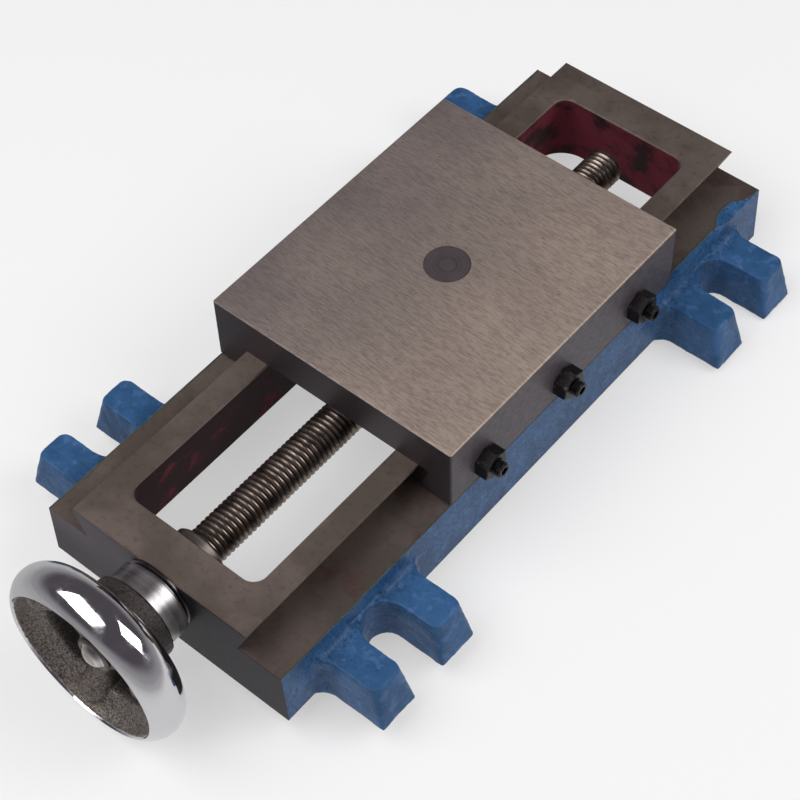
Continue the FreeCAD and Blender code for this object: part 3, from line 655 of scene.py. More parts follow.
@dataclass(frozen=True)
class ScrewSteelFinish:
    """Dark oiled thread: near black in the roots and worn bright on the crests."""

    centre: Vector
    root: float
    crest: float
    oil: Colour = (0.050, 0.038, 0.032)
    worn: Colour = (0.300, 0.240, 0.205)
    cloud: Grain = Grain(220.0, 4.0, 0.65)
    wear: Fade = Fade(0.30, 0.62)
    grit: Grain = Grain(1800.0, 2.0)
    relief: float = 0.03 * MM
    metal: float = 0.9
    rough: Range = Range(0.48, 0.26)

    def build(self) -> bpy.types.Material:
        """Make the material."""
        bench = Bench("dark_screw_steel")
        height = bench.step(bench.radius(self.centre), self.root, self.crest)
        wear = bench.both(height, bench.fade(bench.grain(self.cloud), self.wear))
        colour = bench.mix(wear, self.oil, self.worn)
        return bench.coat(colour, self.metal, bench.between(height, *self.rough),
                          bench.bump(bench.grain(self.grit), self.relief))


@dataclass(frozen=True)
class BlackOxideFinish:
    """Blackened steel fasteners, slightly brown where the black has rubbed."""

    black: Colour = (0.022, 0.020, 0.020)
    rubbed: Colour = (0.110, 0.095, 0.085)
    cloud: Grain = Grain(420.0, 4.0, 0.65)
    wear: Fade = Fade(0.55, 0.72)
    grit: Grain = Grain(1500.0, 3.0)
    relief: float = 0.04 * MM
    metal: float = 0.85
    rough: Range = Range(0.30, 0.50)

    def build(self) -> bpy.types.Material:
        """Make the material."""
        bench = Bench("black_steel")
        cloud = bench.grain(self.cloud)
        return bench.coat(bench.mix(bench.fade(cloud, self.wear), self.black, self.rubbed), self.metal,
                          bench.span(cloud, self.rough), bench.bump(bench.grain(self.grit), self.relief))


@dataclass(frozen=True)
class ChromeFinish:
    """Polished chrome on the rim, over a casting left rough inside the dish, with painted shade behind the
    spokes.
    """

    centre: Vector
    middle: float
    front_radius: float
    rear_radius: float
    behind: float = 1.0 * MM
    edge_ragged: Range = Range(-0.25 * MM, 0.25 * MM)
    edge_blur: float = 0.2 * MM
    ragged: Grain = Grain(900.0, 3.0)
    chrome: Colour = (0.72, 0.71, 0.735)
    scuffs: Grain = Grain(150.0, 5.0, 0.65)
    scuffed: Fade = Fade(0.40, 0.72)
    chrome_rough: Range = Range(0.05, 0.26)
    cast: Colour = (0.255, 0.222, 0.200)
    cast_dark: Colour = (0.062, 0.051, 0.047)
    cast_brown: Colour = (0.170, 0.126, 0.100)
    cast_painted_shade: Colour = (0.020, 0.015, 0.015)
    cast_metal: float = 0.60
    cast_rough: Range = Range(0.34, 0.60)
    grit: Grain = Grain(1500.0, 4.0, 0.7)
    gritty: Fade = Fade(0.40, 0.60)
    grit_relief: float = 0.22 * MM
    lumps: Grain = Grain(300.0, 3.0, 0.6)
    lumps_relief: float = 0.30 * MM
    lumps_on_chrome: float = 0.07
    brown: Grain = Grain(75.0, 3.0, 0.6)
    brown_cloud: Fade = Fade(0.48, 0.64, 0.6)
    brown_grit: Fade = Fade(0.36, 0.56)
    deep_start: float = -0.4 * MM
    deep_full: float = 2.8 * MM
    painted_shade_share: float = 0.78

    def build(self) -> bpy.types.Material:
        """Make the material."""
        bench = Bench("chromed_casting")
        _, y, _ = bench.axes()
        radius = bench.radius(self.centre)
        behind = bench.step(y, self.middle - self.behind, self.middle + self.behind)
        edge = bench.between(behind, self.front_radius, self.rear_radius)
        ragged = bench.span(bench.grain(self.ragged), self.edge_ragged)
        inwards = bench.sum("SUBTRACT", bench.sum("ADD", edge, ragged), radius)
        cast = bench.step(inwards, 0.0, self.edge_blur)
        grit = bench.grain(self.grit)
        iron = bench.mix(bench.fade(grit, self.gritty), self.cast_dark, self.cast)
        brown = bench.both(bench.fade(bench.grain(self.brown), self.brown_cloud),
                           bench.fade(grit, self.brown_grit))
        iron = bench.mix(brown, iron, self.cast_brown)
        # Painted shade: the casting darkens towards the rear, behind the spokes.
        deep = bench.step(y, self.middle + self.deep_start, self.middle + self.deep_full)
        iron = bench.mix(bench.both(deep, self.painted_shade_share), iron, self.cast_painted_shade)
        worn = bench.span(bench.fade(bench.grain(self.scuffs), self.scuffed), self.chrome_rough)
        rough = bench.between(cast, worn, bench.span(grit, self.cast_rough))
        lumps = bench.both(bench.grain(self.lumps), bench.between(cast, self.lumps_on_chrome, 1.0))
        coarse = bench.bump(lumps, self.lumps_relief)
        colour = bench.mix(cast, self.chrome, iron)
        return bench.coat(colour, bench.between(cast, 1.0, self.cast_metal), rough,
                          bench.bump(bench.both(grit, cast), self.grit_relief, coarse))


@dataclass(frozen=True)
class SheetFinish:
    """The pale sheet under the object: lit for its shadow, and shining by itself far from the object.

    In metal it looks dimmer than it is, away from the object and on the left.
    """

    tone: float
    rough: float = 0.9
    own_light: float = 0.55
    near: float = 0.35
    far: float = 0.9
    mirrored_near: float = 0.80
    mirrored_far: float = 0.38
    mirrored_share: float = 0.85
    mirror_from: float = 0.19
    mirror_to: float = 0.40
    dim_side: float = -0.10
    dim_width: float = 0.12
    dim_level: float = 0.60

    def build(self) -> bpy.types.Material:
        """Make the material."""
        bench = Bench("pale_sheet")
        grey = (self.tone, self.tone, self.tone)
        length = bench.add("ShaderNodeVectorMath")
        length.operation = "LENGTH"
        bench.wire(bench.where, length.inputs[0])
        distance = length.outputs["Value"]
        camera, mirrored = bench.rays()
        left = bench.step(bench.axes()[0], self.dim_side + self.dim_width, self.dim_side)
        near_level = bench.between(left, self.mirrored_near, self.mirrored_near * self.dim_level)
        dimmed = bench.step(distance, self.mirror_from, self.mirror_to)
        level = bench.between(mirrored, 1.0, bench.between(dimmed, near_level, self.mirrored_far))
        lit = bench.between(bench.step(distance, self.near, self.far), self.own_light, 1.0)
        share = bench.both(bench.sum("MAXIMUM", camera, mirrored), lit)
        share = bench.sum("MAXIMUM", share, bench.both(mirrored, self.mirrored_share))
        glow = bench.shine("ShaderNodeEmission", grey, level)
        bench.wire(bench.blend(share, bench.skin.outputs["BSDF"], glow), bench.output.inputs["Surface"])
        return bench.coat(grey, 0.0, self.rough, specular=0.0)


def dress(node: str, material: bpy.types.Material) -> None:
    """Give a node of the frame its finish."""
    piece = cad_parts[node]
    piece.data.materials.clear()
    piece.data.materials.append(material)
    log.info("dressed %s", node)


def middle_of(node: str) -> Vector:
    """Middle of a node's box."""
    low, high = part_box(node)
    return (low + high) / 2


def linked(name: str, data: bpy.types.ID) -> bpy.types.Object:
    """Make an object of some data and put it in the scene."""
    thing = bpy.data.objects.new(name, data)
    bpy.context.scene.collection.objects.link(thing)
    return thing


@dataclass(frozen=True)
class Piece:
    """What a group of built pieces has in common.

    Attributes:
        node: The CAD node that they take the place of.
        body: What they move with.
        slot: The record's material slot that matches their finish; not used.
        material: Their finish.
    """

    node: str
    body: Body
    slot: str
    material: bpy.types.Material

    def place(self, name: str, shape: bmesh.types.BMesh, shading: Shading) -> None:
        """Turn a built shape into a piece that rides on its body.

        Args:
            name: The piece's name.
            shape: The finished mesh, which this call frees.
            shading: Which edges are shaded smooth.
        """
        bmesh.ops.recalc_face_normals(shape, faces=shape.faces)
        limit = math.radians(shading.value)
        for face in shape.faces:
            face.smooth = True
        for edge in shape.edges:
            edge.smooth = len(edge.link_faces) == 2 and edge.calc_face_angle(0.0) < limit
        mesh = bpy.data.meshes.new(name)
        shape.to_mesh(mesh)
        shape.free()
        mesh.materials.append(self.material)
        piece = linked(name, mesh)
        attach(piece, self.body.value)
        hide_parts(self.node)
        log.info("built %s with %d faces", name, len(mesh.polygons))


def copied(node: str) -> bmesh.types.BMesh:
    """Copy a node's CAD shape, with its doubled points merged."""
    shape = bmesh.new()
    shape.from_mesh(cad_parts[node].data)
    bmesh.ops.remove_doubles(shape, verts=shape.verts, dist=SAME_CAD_POINT)
    return shape


def cut_flat(shape: bmesh.types.BMesh, point: Sequence[float], normal: Sequence[float]) -> None:
    """Cut a closed shape at a plane, drop what lies beyond it and close the cut.

    Args:
        shape: The shape to cut.
        point: A point on the plane.
        normal: The plane's normal, towards what is dropped.
    """
    everything = shape.verts[:] + shape.edges[:] + shape.faces[:]
    cut = bmesh.ops.bisect_plane(shape, geom=everything, dist=SAME_POINT, plane_co=point, plane_no=normal,
                                 clear_outer=True)
    rim = [item for item in cut["geom_cut"] if isinstance(item, bmesh.types.BMEdge) and item.is_boundary]
    bmesh.ops.edgeloop_fill(shape, edges=rim)


def bridge(shape: bmesh.types.BMesh, ring: Sequence[bmesh.types.BMVert],
           following: Sequence[bmesh.types.BMVert]) -> None:
    """Put faces between two closed loops with as many points each."""
    count = len(ring)
    for index in range(count):
        after = (index + 1) % count
        shape.faces.new((ring[index], ring[after], following[after], following[index]))


def tube(loops: Sequence[Sequence[Sequence[float]]]) -> bmesh.types.BMesh:
    """Join loops of points into a closed skin, with the first and the last loop filled."""
    shape = bmesh.new()
    rings = [[shape.verts.new(point) for point in loop] for loop in loops]
    for ring, following in zip(rings, rings[1:]):
        bridge(shape, ring, following)
    shape.faces.new(rings[0])
    shape.faces.new(rings[-1])
    return shape


def lathe(profile: Sequence[tuple[float, float]], around: int, centre: Vector) -> bmesh.types.BMesh:
    """Turn a closed profile about the line along Y through a centre.

    Args:
        profile: Corners as (Y, radius); a radius of nothing lies on the line.
        around: Steps in one turn.
        centre: A point on the line.

    Returns:
        The closed ring or solid.
    """
    shape = bmesh.new()
    rings = []
    for step in range(around):
        turn = 2 * math.pi * step / around
        across, up = math.sin(turn), math.cos(turn)
        rings.append([shape.verts.new((centre.x + radius * across, along, centre.z + radius * up))
                      for along, radius in profile])
    for step, ring in enumerate(rings):
        bridge(shape, ring, rings[(step + 1) % around])
    bmesh.ops.remove_doubles(shape, verts=shape.verts, dist=SAME_POINT)
    return shape


def turns(start: float, stop: float, steps: int) -> list[float]:
    """Even angles from start to stop, with both ends."""
    return [start + (stop - start) * step / steps for step in range(steps + 1)]


def joined(shapes: Sequence[bmesh.types.BMesh]) -> bmesh.types.BMesh:
    """Put several shapes into one, which frees them."""
    whole = bmesh.new()
    for shape in shapes:
        mesh = bpy.data.meshes.new("part")
        shape.to_mesh(mesh)
        shape.free()
        whole.from_mesh(mesh)
        bpy.data.meshes.remove(mesh)
    return whole


def held(shape: bmesh.types.BMesh) -> bpy.types.Object:
    """Put a shape into an object for a modifier to work on, which frees the shape."""
    bmesh.ops.recalc_face_normals(shape, faces=shape.faces)
    mesh = bpy.data.meshes.new("held")
    shape.to_mesh(mesh)
    shape.free()
    return linked("held", mesh)


def released(holders: Sequence[bpy.types.Object]) -> bmesh.types.BMesh:
    """Take the shape that the first object's modifier makes, and remove all the objects."""
    shape = bmesh.new()
    shape.from_object(holders[0], bpy.context.evaluated_depsgraph_get())
    for holder in holders:
        mesh = holder.data
        bpy.data.objects.remove(holder)
        bpy.data.meshes.remove(mesh)
    return shape


@dataclass(frozen=True)
class Unevenness:
    """How far a skin strays from its true shape.

    Attributes:
        waves: Pairs of (size of the lumps, how far they move the skin).
        sink: How far the whole skin moves inwards.
    """

    waves: tuple[tuple[float, float], ...]
    sink: float

    def roughen(self, shape: bmesh.types.BMesh) -> None:
        """Move every point of a shape along its normal."""
        shape.normal_update()
        moves = []
        for point in shape.verts:
            push = -self.sink
            for size, reach in self.waves:
                push += reach * noise.noise(point.co / size)
            moves.append(point.normal * push)
        for point, move in zip(shape.verts, moves):
            point.co += move


@dataclass(frozen=True)
class Mould:
    """Fuses overlapping shapes into one casting with the soft, uneven skin that a sand mould leaves.

    Attributes:
        voxel: Size of a cell of the fused skin.
        softening: How often each point moves towards its neighbours.
        skin: How uneven it comes out.
    """

    voxel: float
    softening: int
    skin: Unevenness

    def cast(self, shapes: Sequence[bmesh.types.BMesh]) -> bmesh.types.BMesh:
        """Make the casting, which frees the shapes.

        Args:
            shapes: Closed shapes that overlap.

        Returns:
            The casting's skin.
        """
        holder = held(joined(shapes))
        cells = holder.modifiers.new("cells", "REMESH")
        cells.mode = "VOXEL"
        cells.voxel_size = self.voxel
        casting = released([holder])
        for _ in range(self.softening):
            bmesh.ops.smooth_vert(casting, verts=casting.verts[:], factor=0.5, use_axis_x=True,
                                  use_axis_y=True, use_axis_z=True)
        self.skin.roughen(casting)
        return casting


@dataclass(frozen=True)
class Thread:
    """A right-hand thread along +Y with flat crests, rounded by its profile's corners.

    Attributes:
        crest: Outer radius.
        root: Radius at the bottom of the groove.
        pitch: Advance per turn.
        around: Steps in one turn.
        profile: Points across one pitch, as (share of the pitch, share of the depth).
    """

    crest: float
    root: float
    pitch: float
    around: int
    profile: tuple[tuple[float, float], ...] = (
        (0.00, 0.92), (0.03, 1.0), (0.13, 1.0), (0.16, 0.92), (0.42, 0.08), (0.46, 0.0), (0.54, 0.0),
        (0.58, 0.08), (0.84, 0.84))

    def strip(self, start: float, end: float, reach: Callable[[float], float]) -> bmesh.types.BMesh:
        """The thread's surface from start to end, cut flat and closed at both.

        It is wound from one and a half turns before start to at least as much past end, then cut.

        Args:
            start: Lowest Y.
            end: Highest Y.
            reach: Largest radius at a place along Y, for chamfers.

        Returns:
            The closed shape about the Y axis.
        """
        shape = bmesh.new()
        steps = (math.ceil((end - start) / self.pitch) + 3) * self.around
        rows = []
        for step in range(steps + 1):
            turn = 2 * math.pi * step / self.around
            base = start - 1.5 * self.pitch + self.pitch * step / self.around
            row = []
            for share, depth in self.profile:
                along = base + share * self.pitch
                radius = min(self.root + (self.crest - self.root) * depth, reach(along))
                row.append(shape.verts.new((radius * math.sin(turn), along, radius * math.cos(turn))))
            rows.append(row)
        for step in range(steps):
            here, there = rows[step], rows[step + 1]
            for index in range(len(self.profile) - 1):
                shape.faces.new((here[index], here[index + 1], there[index + 1], there[index]))
            if step + self.around + 1 <= steps:
                above, above_next = rows[step + self.around], rows[step + self.around + 1]
                shape.faces.new((here[-1], above[0], above_next[0], there[-1]))
        cut_flat(shape, (0, start, 0), (0, -1, 0))
        cut_flat(shape, (0, end, 0), (0, 1, 0))
        return shape


class Corner(Enum):
    """The four lugs: name, side along X and place along Y of the bolt slot."""

    FRONT_RIGHT = ("front_right", 1, -90.25 * MM)
    REAR_RIGHT = ("rear_right", 1, 90.25 * MM)
    FRONT_LEFT = ("front_left", -1, -92.45 * MM)
    REAR_LEFT = ("rear_left", -1, 88.05 * MM)


@dataclass(frozen=True)
class BaseAssembly:
    """The cast base with its four forked lugs, and the bearing bush pressed into its front wall."""

    finish: CastingFinish = CastingFinish()
    bush: TurnedFinish = TurnedFinish("dark_turned_iron", (0.13, 0.12, 0.125), (0.055, 0.05, 0.054))
    side_foot: float = 50.72 * MM
    side_height: float = 23.75 * MM
    side_draft: float = 1.0 * MM
    lug_start: float = 47.5 * MM
    lug_half_reach: float = 32.0 * MM
    lug_cover: float = 21.0 * MM
    lug_top: float = 17.0 * MM
    lug_half_width: float = 22.5 * MM
    lug_slot_half: float = 7.6 * MM
    blend_radius: float = 3.2 * MM
    blend_steps: int = 8
    set_in: float = 0.15 * MM
    mould: Mould = Mould(0.40 * MM, 7, Unevenness(
        ((11.0 * MM, 0.20 * MM), (3.6 * MM, 0.12 * MM), (1.4 * MM, 0.09 * MM)), 0.05 * MM))

    def body(self, casting: Piece) -> None:
        """Build the crisp middle of the casting, without its lugs."""
        shape = copied(casting.node)
        for side in (-1, 1):
            out = Vector((side * self.side_height, 0.0, self.side_draft)).normalized()
            cut_flat(shape, (side * self.side_foot, 0.0, 0.0), out)
        casting.place("base_casting_body", shape, Shading.MACHINED)

    def blend(self, corner: Corner, tine: int) -> bmesh.types.BMesh:
        """Build the filled corner between one tine's top and the base's side.

        Args:
            corner: The lug.
            tine: 1 for the tine further along Y, -1 for the other.

        Returns:
            The closed fillet.
        """
        _, side, middle = corner.value
        wall = self.side_foot - self.side_draft * self.lug_top / self.side_height
        radius = self.blend_radius
        section = [(wall - radius / 2, self.lug_top - radius / 2), (wall + radius, self.lug_top - radius / 2)]
        section += [(wall + radius - radius * math.sin(turn), self.lug_top + radius - radius * math.cos(turn))
                    for turn in turns(0.0, math.pi / 2, self.blend_steps)]
        section.append((wall - radius / 2, self.lug_top + radius))
        return tube([[(side * across, middle + tine * reach, up) for across, up in section]
                     for reach in (self.lug_slot_half, self.lug_half_width)])

    def lug(self, corner: Corner, casting: Piece) -> None:
        """Build one lug with rounded, uneven cast surfaces."""
        name, side, middle = corner.value
        shape = copied(casting.node)
        cut_flat(shape, (side * self.lug_start, 0.0, 0.0), (-side, 0.0, 0.0))
        for end in (-1, 1):
            cut_flat(shape, (0.0, middle + end * self.lug_half_reach, 0.0), (0.0, end, 0.0))
        cut_flat(shape, (0.0, 0.0, self.lug_cover), (0.0, 0.0, 1.0))
        shape = self.mould.cast([shape, self.blend(corner, -1), self.blend(corner, 1)])
        low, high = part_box(casting.node)
        for point in shape.verts:
            point.co.x = min(max(point.co.x - side * self.set_in, low.x), high.x)
            point.co.z = max(point.co.z, low.z)
        casting.place("base_lug_" + name, shape, Shading.CAST)

    def build(self) -> None:
        """Build the casting and dress the bush."""
        casting = Piece("base_casting", Body.BASE, "blue_painted_casting", self.finish.build())
        self.body(casting)
        for corner in Corner:
            self.lug(corner, casting)
        dress("front_bearing_bush", self.bush.build(middle_of("front_bearing_bush")))


@dataclass(frozen=True)
class TableAssembly:
    """The ground table with its gib, gib screws, locknuts and the leadscrew's nut."""

    disc: TurnedFinish = TurnedFinish("dark_turned_iron_disc", (0.112, 0.091, 0.094), (0.084, 0.068, 0.071),
                                      upright=True, ring_scale=1400.0, rough=Range(0.3, 0.5), metal=0.5)
    gib: TurnedFinish = TurnedFinish("ground_steel", (0.42, 0.40, 0.39), (0.24, 0.22, 0.21))
    thread: Thread = Thread(3.0 * MM, 2.45 * MM, 1.0 * MM, 24)
    chamfer: float = 0.6 * MM
    socket_radius: float = 1.75 * MM
    socket_depth: float = 3.2 * MM

    def socketed(self, shape: bmesh.types.BMesh, high: float) -> bmesh.types.BMesh:
        """Cut a hexagon socket into the end of a screw about the Y axis.

        Args:
            shape: The screw, which this call frees.
            high: Y of the end that gets the socket.

        Returns:
            The screw with its socket.
        """
        corners = [math.radians(60 * step) for step in range(6)]
        ends = (high - self.socket_depth, high + self.socket_depth)
        tool = tube([[(self.socket_radius * math.sin(turn), along, self.socket_radius * math.cos(turn))
                      for turn in corners] for along in ends])
        holders = [held(part) for part in (shape, tool)]
        cut = holders[0].modifiers.new("socket", "BOOLEAN")
        cut.operation = "DIFFERENCE"
        cut.solver = "EXACT"
        cut.object = holders[1]
        return released(holders)

    def gib_screw(self, node: str, material: bpy.types.Material) -> None:
        """Build a gib screw with its thread, chamfers and socket, along +X."""
        low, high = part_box(node)

        def reach(along: float) -> float:
            """Largest radius that the chamfers at both ends leave."""
            outer = max(0.0, along - (high.x - self.chamfer))
            inner = max(0.0, low.x + self.chamfer - along)
            return self.thread.crest - outer - inner

        shape = self.socketed(self.thread.strip(low.x, high.x, reach), high.x)
        turned = Matrix.Rotation(math.radians(-90.0), 4, "Z")
        place = Matrix.Translation((0.0, (low.y + high.y) / 2, (low.z + high.z) / 2))
        bmesh.ops.transform(shape, matrix=place @ turned, verts=shape.verts)
        screw = Piece(node, Body.TABLE, "black_steel", material)
        screw.place(node + "_threaded", shape, Shading.SMALL_THREAD)

    def build(self) -> None:
        """Dress the block, the nut and the gib, and build the gib screws."""
        low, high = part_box("sliding_table")
        dress("sliding_table", GroundTopFinish(high.z, low.y).build())
        dress("leadscrew_nut", self.disc.build(middle_of("leadscrew_nut")))
        dress("gib_strip", self.gib.build(middle_of("gib_strip")))
        black = BlackOxideFinish().build()
        for station in Station:
            self.gib_screw("gib_screw_" + station.value, black)
            dress("gib_locknut_" + station.value, black)


@dataclass(frozen=True)
class ScrewAssembly:
    """The leadscrew with its collars, washer and pin."""

    thread: Thread = Thread(7.0 * MM, 7.0 * MM - 1.15 * MM, 2.0 * MM, 40)
    end_chamfer: float = 1.0 * MM
    turned: tuple[tuple[TurnedFinish, tuple[str, ...]], ...] = (
        (TurnedFinish("bright_steel", (0.44, 0.42, 0.425), (0.22, 0.205, 0.21), rough=Range(0.22, 0.40)),
         ("thrust_collar",)),
        (TurnedFinish("ground_steel_rings", (0.46, 0.44, 0.42), (0.26, 0.24, 0.23)),
         ("thrust_washer", "collar_pin", "wheel_key")),
        (TurnedFinish("bright_steel_dull", (0.24, 0.21, 0.195), (0.10, 0.085, 0.078),
                      rough=Range(0.34, 0.55), relief=0.08 * MM),
         ("wheel_washer", "inner_thrust_collar")),
        (TurnedFinish("bright_steel_polished", (0.66, 0.64, 0.62), (0.42, 0.39, 0.37),
                      rough=Range(0.12, 0.26)),
         ("wheel_screw",)),
    )

    def threaded(self, start: float, screw: Piece) -> None:
        """Build the threaded length, from a place along Y to the free end."""
        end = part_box(screw.node)[1].y

        def reach(along: float) -> float:
            """Largest radius that the rear chamfer leaves."""
            return self.thread.crest - max(0.0, along - (end - self.end_chamfer))

        shape = self.thread.strip(start, end, reach)
        bmesh.ops.translate(shape, verts=shape.verts, vec=(0, 0, middle_of(screw.node).z))
        screw.place("leadscrew_thread", shape, Shading.THREAD)

    def journal(self, end: float, screw: Piece) -> None:
        """Copy the plain front length of the leadscrew, up to a place along Y."""
        shape = copied(screw.node)
        cut_flat(shape, (0, end, 0), (0, 1, 0))
        screw.place("leadscrew_journal", shape, Shading.MACHINED)

    def build(self) -> None:
        """Build the thread behind the inner collar and the journal, and dress what is on them."""
        centre = middle_of("leadscrew")
        steel = ScrewSteelFinish(centre, self.thread.root, self.thread.crest).build()
        screw = Piece("leadscrew", Body.SCREW, "dark_screw_steel", steel)
        collar_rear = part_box("inner_thrust_collar")[1].y
        self.threaded(collar_rear, screw)
        self.journal(collar_rear, screw)
        for finish, nodes in self.turned:
            material = finish.build(centre)
            for node in nodes:
                dress(node, material)
        dress("collar_set_screw", BlackOxideFinish().build())


class SpokeStation(NamedTuple):
    """A cross section of a spoke: distance from the wheel's axis, place along Y, and its two widths."""

    radius: float
    middle: float
    across: float
    deep: float


@dataclass(frozen=True)
class Handwheel:
    """The dished wheel: chromed rim round a rough casting of dish, three spokes and hub.

    Places along Y are counted from the rear face of the hub, towards the front.
    """

    rim_centre: float = 25.1 * MM
    rim_tube: float = 8.67 * MM
    rim_place: float = 17.3 * MM
    rim_steps: int = 60
    rim_facets: int = 360
    rim_inset: float = 0.45 * MM
    front_radius: float = 28.9 * MM
    inner_radius: float = 22.0 * MM
    chrome_lap: float = 1.0 * MM
    land: float = 0.7 * MM
    dish_radius: float = 10.0 * MM
    dish_steps: int = 14
    lip_depth: float = 6.2 * MM
    lip_edge: float = 1.5 * MM
    casting_shrink: float = 1.0 * MM
    casting_facets: int = 180
    hub_length: float = 18.2 * MM
    hub_front: float = 8.6 * MM
    hub_waist: float = 10.5 * MM
    hub_rear: float = 15.6 * MM
    hub_flange: float = 6.4 * MM
    hub_edge: float = 1.0 * MM
    hub_facets: int = 72
    spoke_count: int = 3
    spoke_turn: float = 70.0
    spoke_across: float = 8.8 * MM
    spoke_deep: float = 9.8 * MM
    knuckle_across: float = 11.4 * MM
    knuckle_deep: float = 13.0 * MM
    spoke_place: float = 13.1 * MM
    spoke_radii: tuple[float, ...] = (2.0 * MM, 15.0 * MM, 24.4 * MM, 28.9 * MM)
    spoke_slices: int = 10
    spoke_corners: int = 32
    mould: Mould = Mould(0.42 * MM, 4, Unevenness(
        ((6.0 * MM, 0.20 * MM), (2.2 * MM, 0.14 * MM), (1.1 * MM, 0.12 * MM)), 0.05 * MM))
    polish: Unevenness = Unevenness(((13.0 * MM, 0.09 * MM), (5.0 * MM, 0.03 * MM)), 0.12 * MM)

    def ring(self, rear: float, tube_radius: float, inset: float) -> list[tuple[float, float]]:
        """Section of the rim: a round outside and a dished, hollow inside.

        Args:
            rear: Y of the hub's rear face.
            tube_radius: Radius of the round outside.
            inset: How far the dish and the inner wall lie below their own place.

        Returns:
            Corners of the section, as (Y, radius).
        """
        middle = rear - self.rim_place
        start = math.asin((self.front_radius - self.rim_centre) / self.rim_tube)
        stop = math.pi + math.asin((self.rim_centre - self.inner_radius) / self.rim_tube)
        front = middle - self.rim_tube * math.cos(start)
        section = [(middle - tube_radius * math.cos(turn), self.rim_centre + tube_radius * math.sin(turn))
                   for turn in turns(start, stop, self.rim_steps)]
        lip = front + self.lip_depth
        wall = self.inner_radius + inset
        section.append((section[-1][0] - inset, wall))
        section.append((lip + self.lip_edge + inset, wall))
        begin = Vector((lip + inset, self.inner_radius + self.lip_edge + inset))
        end = Vector((front + self.land + inset, self.front_radius - self.land))
        chord = end - begin
        bow = Vector((-chord.y, chord.x)).normalized()
        reach = math.sqrt(self.dish_radius ** 2 - (chord.length / 2) ** 2)
        hollow = (begin + end) / 2 + bow * reach
        if hollow.y > self.rim_centre:
            hollow = (begin + end) / 2 - bow * reach
        first = math.atan2(begin.y - hollow.y, begin.x - hollow.x)
        last = math.atan2(end.y - hollow.y, end.x - hollow.x)
        swing = (last - first + math.pi) % (2 * math.pi) - math.pi
        radius = self.dish_radius
        section += [(hollow.x + radius * math.cos(turn), hollow.y + radius * math.sin(turn))
                    for turn in turns(first, first + swing, self.dish_steps)]
        return section

    def spoke(self, rear: float, centre: Vector, turn: float) -> bmesh.types.BMesh:
        """Build one spoke, from inside the hub to inside the rim."""
        hub, rim = rear - self.spoke_place, rear - self.rim_place
        sizes = ((hub, self.spoke_across, self.spoke_deep), (hub, self.spoke_across, self.spoke_deep),
                 (rim, self.knuckle_across, self.knuckle_deep), (rim, self.spoke_across, self.spoke_deep))
        stations = [SpokeStation(radius, *size) for radius, size in zip(self.spoke_radii, sizes)]
        out = Vector((math.sin(turn), 0.0, math.cos(turn)))
        over = Vector((out.z, 0.0, -out.x))
        angles = [2 * math.pi * (corner + 0.5) / self.spoke_corners for corner in range(self.spoke_corners)]
        loops = []
        for first, second in zip(stations, stations[1:]):
            for index in range(self.spoke_slices):
                share = index / self.spoke_slices
                ease = share * share * (3 - 2 * share)
                radius = first.radius + (second.radius - first.radius) * share
                middle, across, deep = (one + (other - one) * ease
                                        for one, other in zip(first[1:], second[1:]))
                loop = []
                for angle in angles:
                    along = math.copysign((deep - across) / 2, math.sin(angle)) + across / 2 * math.sin(angle)
                    place = centre + out * radius + over * (across / 2 * math.cos(angle))
                    loop.append((place.x, middle + along, place.z))
                loops.append(loop)
        return tube(loops)

    def hub(self, rear: float, centre: Vector) -> bmesh.types.BMesh:
        """Build the hub, waisted in front of its rear flange."""
        front = rear - self.hub_length
        flange = rear - self.hub_flange
        profile = [(rear, 0.0), (front, 0.0), (front, self.hub_front - self.hub_edge * 2),
                   (front + self.hub_edge * 2, self.hub_front),
                   (rear - self.hub_flange * 2, self.hub_waist),
                   (flange, self.hub_rear - self.hub_edge),
                   (flange + self.hub_edge, self.hub_rear), (rear, self.hub_rear)]
        return lathe(profile, self.hub_facets, centre)

    def build(self) -> None:
        """Build the chromed rim and the rough casting inside it."""
        low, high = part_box("handwheel")
        rear = high.y
        centre = (low + high) / 2
        finish = ChromeFinish(centre, rear - self.rim_place, self.front_radius - self.land / 2,
                              self.inner_radius + self.chrome_lap).build()
        wheel = Piece("handwheel", Body.SCREW, "chromed_casting", finish)
        rim = lathe(self.ring(rear, self.rim_tube, self.rim_inset), self.rim_facets, centre)
        bmesh.ops.recalc_face_normals(rim, faces=rim.faces)
        self.polish.roughen(rim)
        wheel.place("handwheel_rim", rim, Shading.MACHINED)
        dish = self.ring(rear, self.rim_tube - self.casting_shrink, 0.0)
        shapes = [self.hub(rear, centre), lathe(dish, self.casting_facets, centre)]
        for index in range(self.spoke_count):
            turn = math.radians(self.spoke_turn + 360.0 * index / self.spoke_count)
            shapes.append(self.spoke(rear, centre, turn))
        casting = self.mould.cast(shapes)
        for point in casting.verts:
            point.co.y = min(point.co.y, rear)
        wheel.place("handwheel_casting", casting, Shading.CAST)


def outwards(azimuth: float, elevation: float) -> Vector:
    """Direction from the object, by degrees round from the -Y side towards +X and degrees up."""
    turn, rise = math.radians(azimuth), math.radians(elevation)
    return Vector((math.sin(turn) * math.cos(rise), -math.cos(turn) * math.cos(rise), math.sin(rise)))


